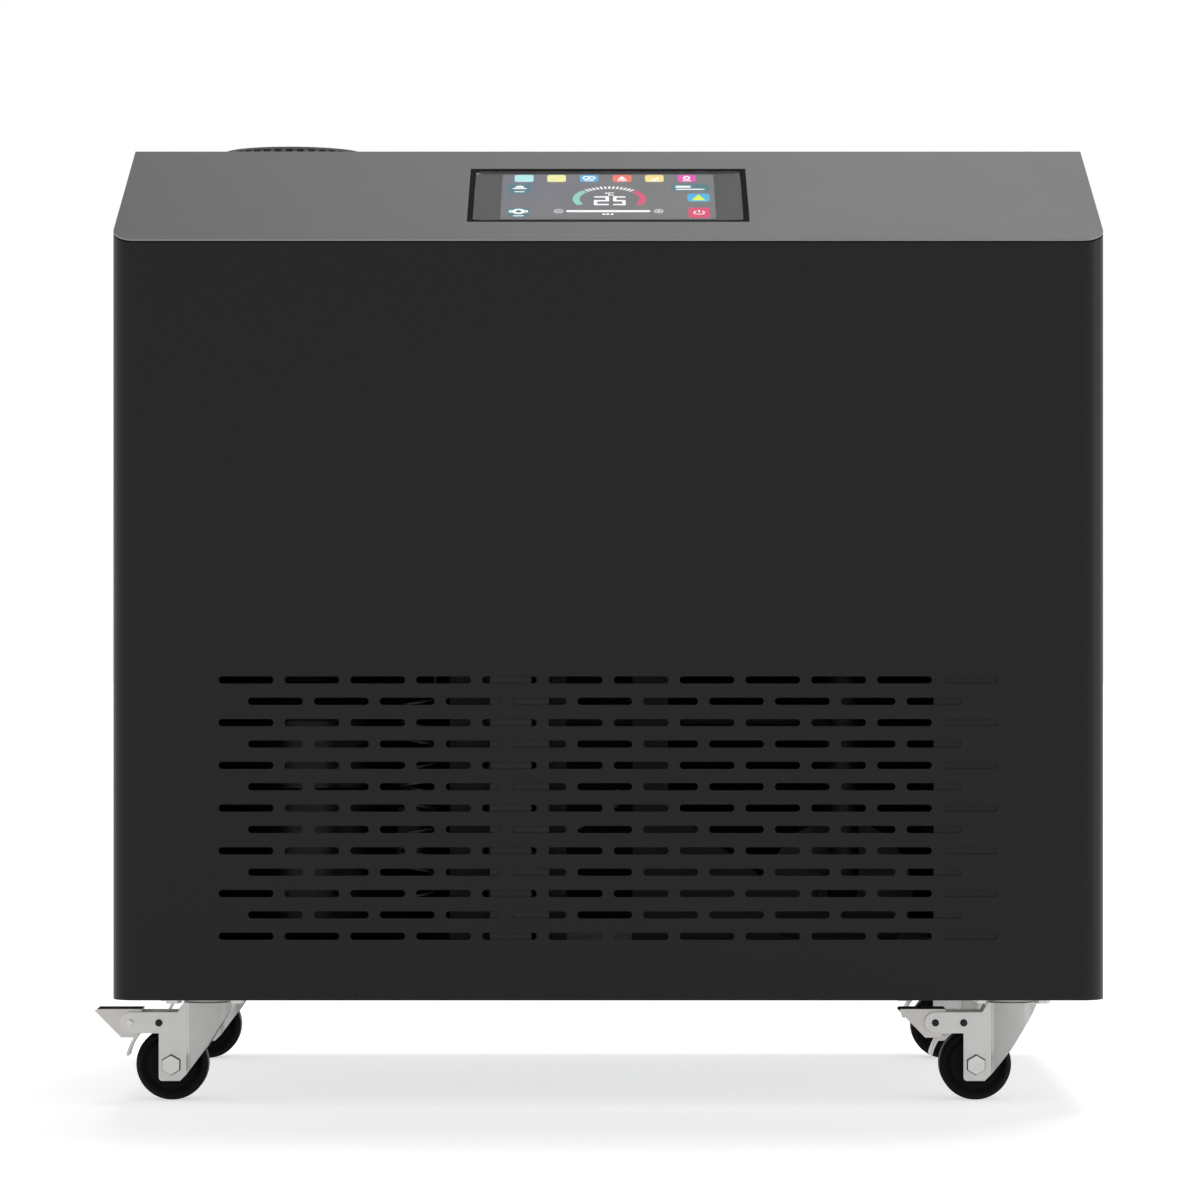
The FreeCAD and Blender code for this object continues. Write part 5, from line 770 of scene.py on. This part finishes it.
piece("screen_field", "cabinet", "screen_module", field_glow,
      plate(tile(*FIELD, power=60), 0, LIT_FACE - 0.05, LIT_FACE + 0.08))
TILE_LOW, TILE_HIGH, SIGN_HIGH = LIT_FACE + 0.08, LIT_FACE + 0.12, LIT_FACE + 0.16
TILE_FOOT, TILE_TOP = 122.35, 137.4
for name, left, right, colour in (
        ("pale_cyan", -68.1, -54.3, (0.42, 0.79, 0.79)),
        ("pale_yellow", -44.4, -30.7, (0.86, 0.85, 0.33)),
        ("sky_blue", -20.6, -7.2, (0.04, 0.40, 0.70)), ("salmon", 3.3, 17.2, (0.86, 0.14, 0.08)),
        ("straw", 27.0, 40.6, (0.91, 0.73, 0.22)), ("magenta", 50.7, 64.1, (0.74, 0.04, 0.40))):
    piece("screen_tile_" + name, "cabinet", "screen_module", lit("lit_" + name, colour, 0.95),
          plate(tile(left, right, TILE_FOOT, TILE_TOP), 0, TILE_LOW, TILE_HIGH))
teal = lit("lit_teal", (0.06, 0.36, 0.44), 0.34)
piece("screen_tiles_teal", "cabinet", "screen_module", teal,
      plate(tile(46.0, 73.7, 103.4, 117.6), 0, TILE_LOW, TILE_HIGH),
      plate(tile(-72.4, -56.3, 97.3, 117.6), 0, TILE_LOW, TILE_HIGH),
      plate(tile(-71.7, -55.9, 47.8, 67.4), 0, TILE_LOW, TILE_HIGH))
piece("screen_tile_blue", "cabinet", "screen_module", lit("lit_blue", (0.02, 0.40, 0.72), 0.95),
      plate(tile(57.2, 73.4, 80.7, 97.3), 0, TILE_LOW, TILE_HIGH))
piece("screen_tile_power", "cabinet", "screen_module", lit("lit_rose", (0.76, 0.03, 0.13), 0.85),
      plate(tile(57.3, 73.0, 46.7, 68.1), 0, TILE_LOW, TILE_HIGH))
piece("screen_arrow", "cabinet", "screen_module", lit("lit_lime", (0.72, 0.90, 0.02), 0.95),
      plate([(60, 83.2), (70.2, 83.2), (65.3, 95.5)], 0, TILE_HIGH, SIGN_HIGH))
DIAL, DIAL_RADIUS, DIAL_BAND = (0.9, 86.2), 26.5, 5.0
piece("screen_dial_cool", "cabinet", "screen_module", lit("lit_cool", (0.26, 0.66, 0.54), 0.85),
      arc(DIAL, DIAL_RADIUS, DIAL_BAND, 210, 138, TILE_LOW, TILE_HIGH))
piece("screen_dial_warm", "cabinet", "screen_module", lit("lit_warm", (0.72, 0.04, 0.14), 0.85),
      arc(DIAL, DIAL_RADIUS, DIAL_BAND, 42, -30, TILE_LOW, TILE_HIGH))

BAR_ACROSS, BAR_UP, DIGIT_FOOT, DIGIT_TOP = 1.3, 1.4, 74.4, 90.4
SEGMENTS = {"2": "abged", "5": "afgcd"}


def digit(sign, left, right):
    """A seven-bar digit: each bar is a thin plate between two of its six corners."""
    middle = (DIGIT_FOOT + DIGIT_TOP) / 2
    spots = {"a": (left, DIGIT_TOP, right, DIGIT_TOP), "b": (right, middle, right, DIGIT_TOP),
             "c": (right, DIGIT_FOOT, right, middle), "d": (left, DIGIT_FOOT, right, DIGIT_FOOT),
             "e": (left, DIGIT_FOOT, left, middle), "f": (left, middle, left, DIGIT_TOP),
             "g": (left, middle, right, middle)}
    bars = []
    for letter in SEGMENTS[sign]:
        x0, y0, x1, y1 = spots[letter]
        outline = tile(x0 - BAR_ACROSS, x1 + BAR_ACROSS, y0 - BAR_UP, y1 + BAR_UP, 5)
        bars.append(plate(outline, 0, TILE_LOW, SIGN_HIGH))
    return bars


# Ticks cross the open top of the dial, one every seven degrees.
TICK_TURNS, TICK_HALF = range(48, 135, 7), 0.75
ticks = []
for degrees in TICK_TURNS:
    turn = math.radians(degrees)
    out = np.array([math.cos(turn), math.sin(turn)])
    side = np.array([-out[1], out[0]]) * TICK_HALF
    near, far = out * (DIAL_RADIUS - DIAL_BAND), out * DIAL_RADIUS
    corners = [DIAL + near - side, DIAL + far - side, DIAL + far + side, DIAL + near + side]
    ticks.append(plate(corners, 0, TILE_LOW, SIGN_HIGH))
CIRCLE = [(math.cos(t), math.sin(t)) for t in np.arange(24) * 2 * math.pi / 24]


def bar(left, right, bottom, top, low=TILE_HIGH, power=7.0):
    """A rounded bar of a sign, from a level up to the signs' face."""
    return plate(tile(left, right, bottom, top, power), 0, low, SIGN_HIGH)


def oval(x, y, half_across, half_up, share, low=TILE_HIGH):
    """An oval ring of a sign round a point, whose hole is the oval shrunk by a share."""
    return plate([(x + half_across * a, y + half_up * b) for a, b in CIRCLE], share, low, SIGN_HIGH)


# On the field: the digits, the ticks, the degree sign with its letter, the slider between
# its two knobs, and three dots below it.
signs = digit("2", -9.0, -0.6) + digit("5", 4.8, 11.4) + ticks
signs.append(oval(-1.3, 98.2, 1.0, 1.7, 0.4, TILE_LOW))
for left, right, bottom, top in ((0.1, 1.2, 93.4, 99.6), (0.1, 4.4, 98.1, 99.6),
                                 (0.1, 4.4, 93.4, 94.9), (35.8, 36.6, 58.6, 62.6)):
    signs.append(bar(left, right, bottom, top, TILE_LOW))
signs.append(bar(-30.1, 30.2, 58.5, 62.7, TILE_LOW, 10))
for x in (-35.5, 36.2):
    signs.append(oval(x, 60.6, 3.2, 4.2, 0.84, TILE_LOW))
    signs.append(bar(x - 1.6, x + 1.6, 60.0, 61.2, TILE_LOW))
for left, right in ((-4.2, -2.0), (-1.4, 0.8), (1.8, 3.9)):
    signs.append(bar(left, right, 53.0, 55.8, TILE_LOW, 4))

# On the tiles: plain rings, bars, a half disc, two triangles, and the power sign.
signs.append(arc((65.1, 57.6), 4.2, 1.1, 120, 420, TILE_HIGH, SIGN_HIGH, steps=24))
for x, y, half_across, half_up, share in (
        (-64.2, 60.0, 4.6, 5.6, 0.45), (-69.3, 60.0, 2.0, 2.8, 0.3), (-59.1, 60.0, 2.0, 2.8, 0.3),
        (-16.0, 131.0, 2.7, 4.0, 0.5), (-11.8, 131.0, 2.7, 4.0, 0.5), (57.4, 131.0, 2.7, 4.0, 0.5)):
    signs.append(oval(x, y, half_across, half_up, share))
for left, right, bottom, top in (
        (64.6, 65.6, 57.6, 63.4), (-69.2, -59.0, 107.0, 109.0), (-68.0, -60.4, 100.4, 102.2),
        (-68.0, -60.4, 50.0, 51.8), (49.0, 60.0, 109.8, 114.2), (49.0, 70.0, 105.4, 107.6)):
    signs.append(bar(left, right, bottom, top))
for x in (-13.9, 10.2, 33.8, 57.4):
    signs.append(bar(x - 3.4, x + 3.4, 124.2, 125.6))
for outline in ([(-64.1 + 3.4 * a, 109.8 + 4.6 * b) for a, b in CIRCLE[:13]],
                [(6.8, 127.4), (13.6, 127.4), (10.2, 134.8)],
                [(31.0, 127.4), (36.8, 127.4), (36.8, 132.6)]):
    signs.append(plate(outline, 0, TILE_HIGH, SIGN_HIGH))
piece("screen_signs", "cabinet", "screen_module", lit("lit_white", (0.94, 0.95, 0.96), 0.95),
      *signs)

# Pane: clear glass over the panel, held in the frame, with a black print under it that
# closes the strip round the lit field.
PANE, PANE_BACK, PANE_FACE = (-96.5, 96.5, 38.5, 142.5), LIT_FACE + 0.2, -0.3
piece("pane_print", "cabinet", "screen_glass", panel_black,
      plate(tile(*PANE, power=60), 0, LIT_FACE + 0.01, LIT_FACE + 0.05))
glass = coat("display_pane", (0.97, 0.98, 1.0), (1.0, 1.0, 1.0), 80, 0.02, 0, 4.0, 0.0)
see_through(glass, 1.0, 1.11)
pane = piece("display_pane", "cabinet", "screen_glass", glass,
             plate(tile(*PANE, power=60), 0, PANE_BACK, PANE_FACE))
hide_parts("display_glass")
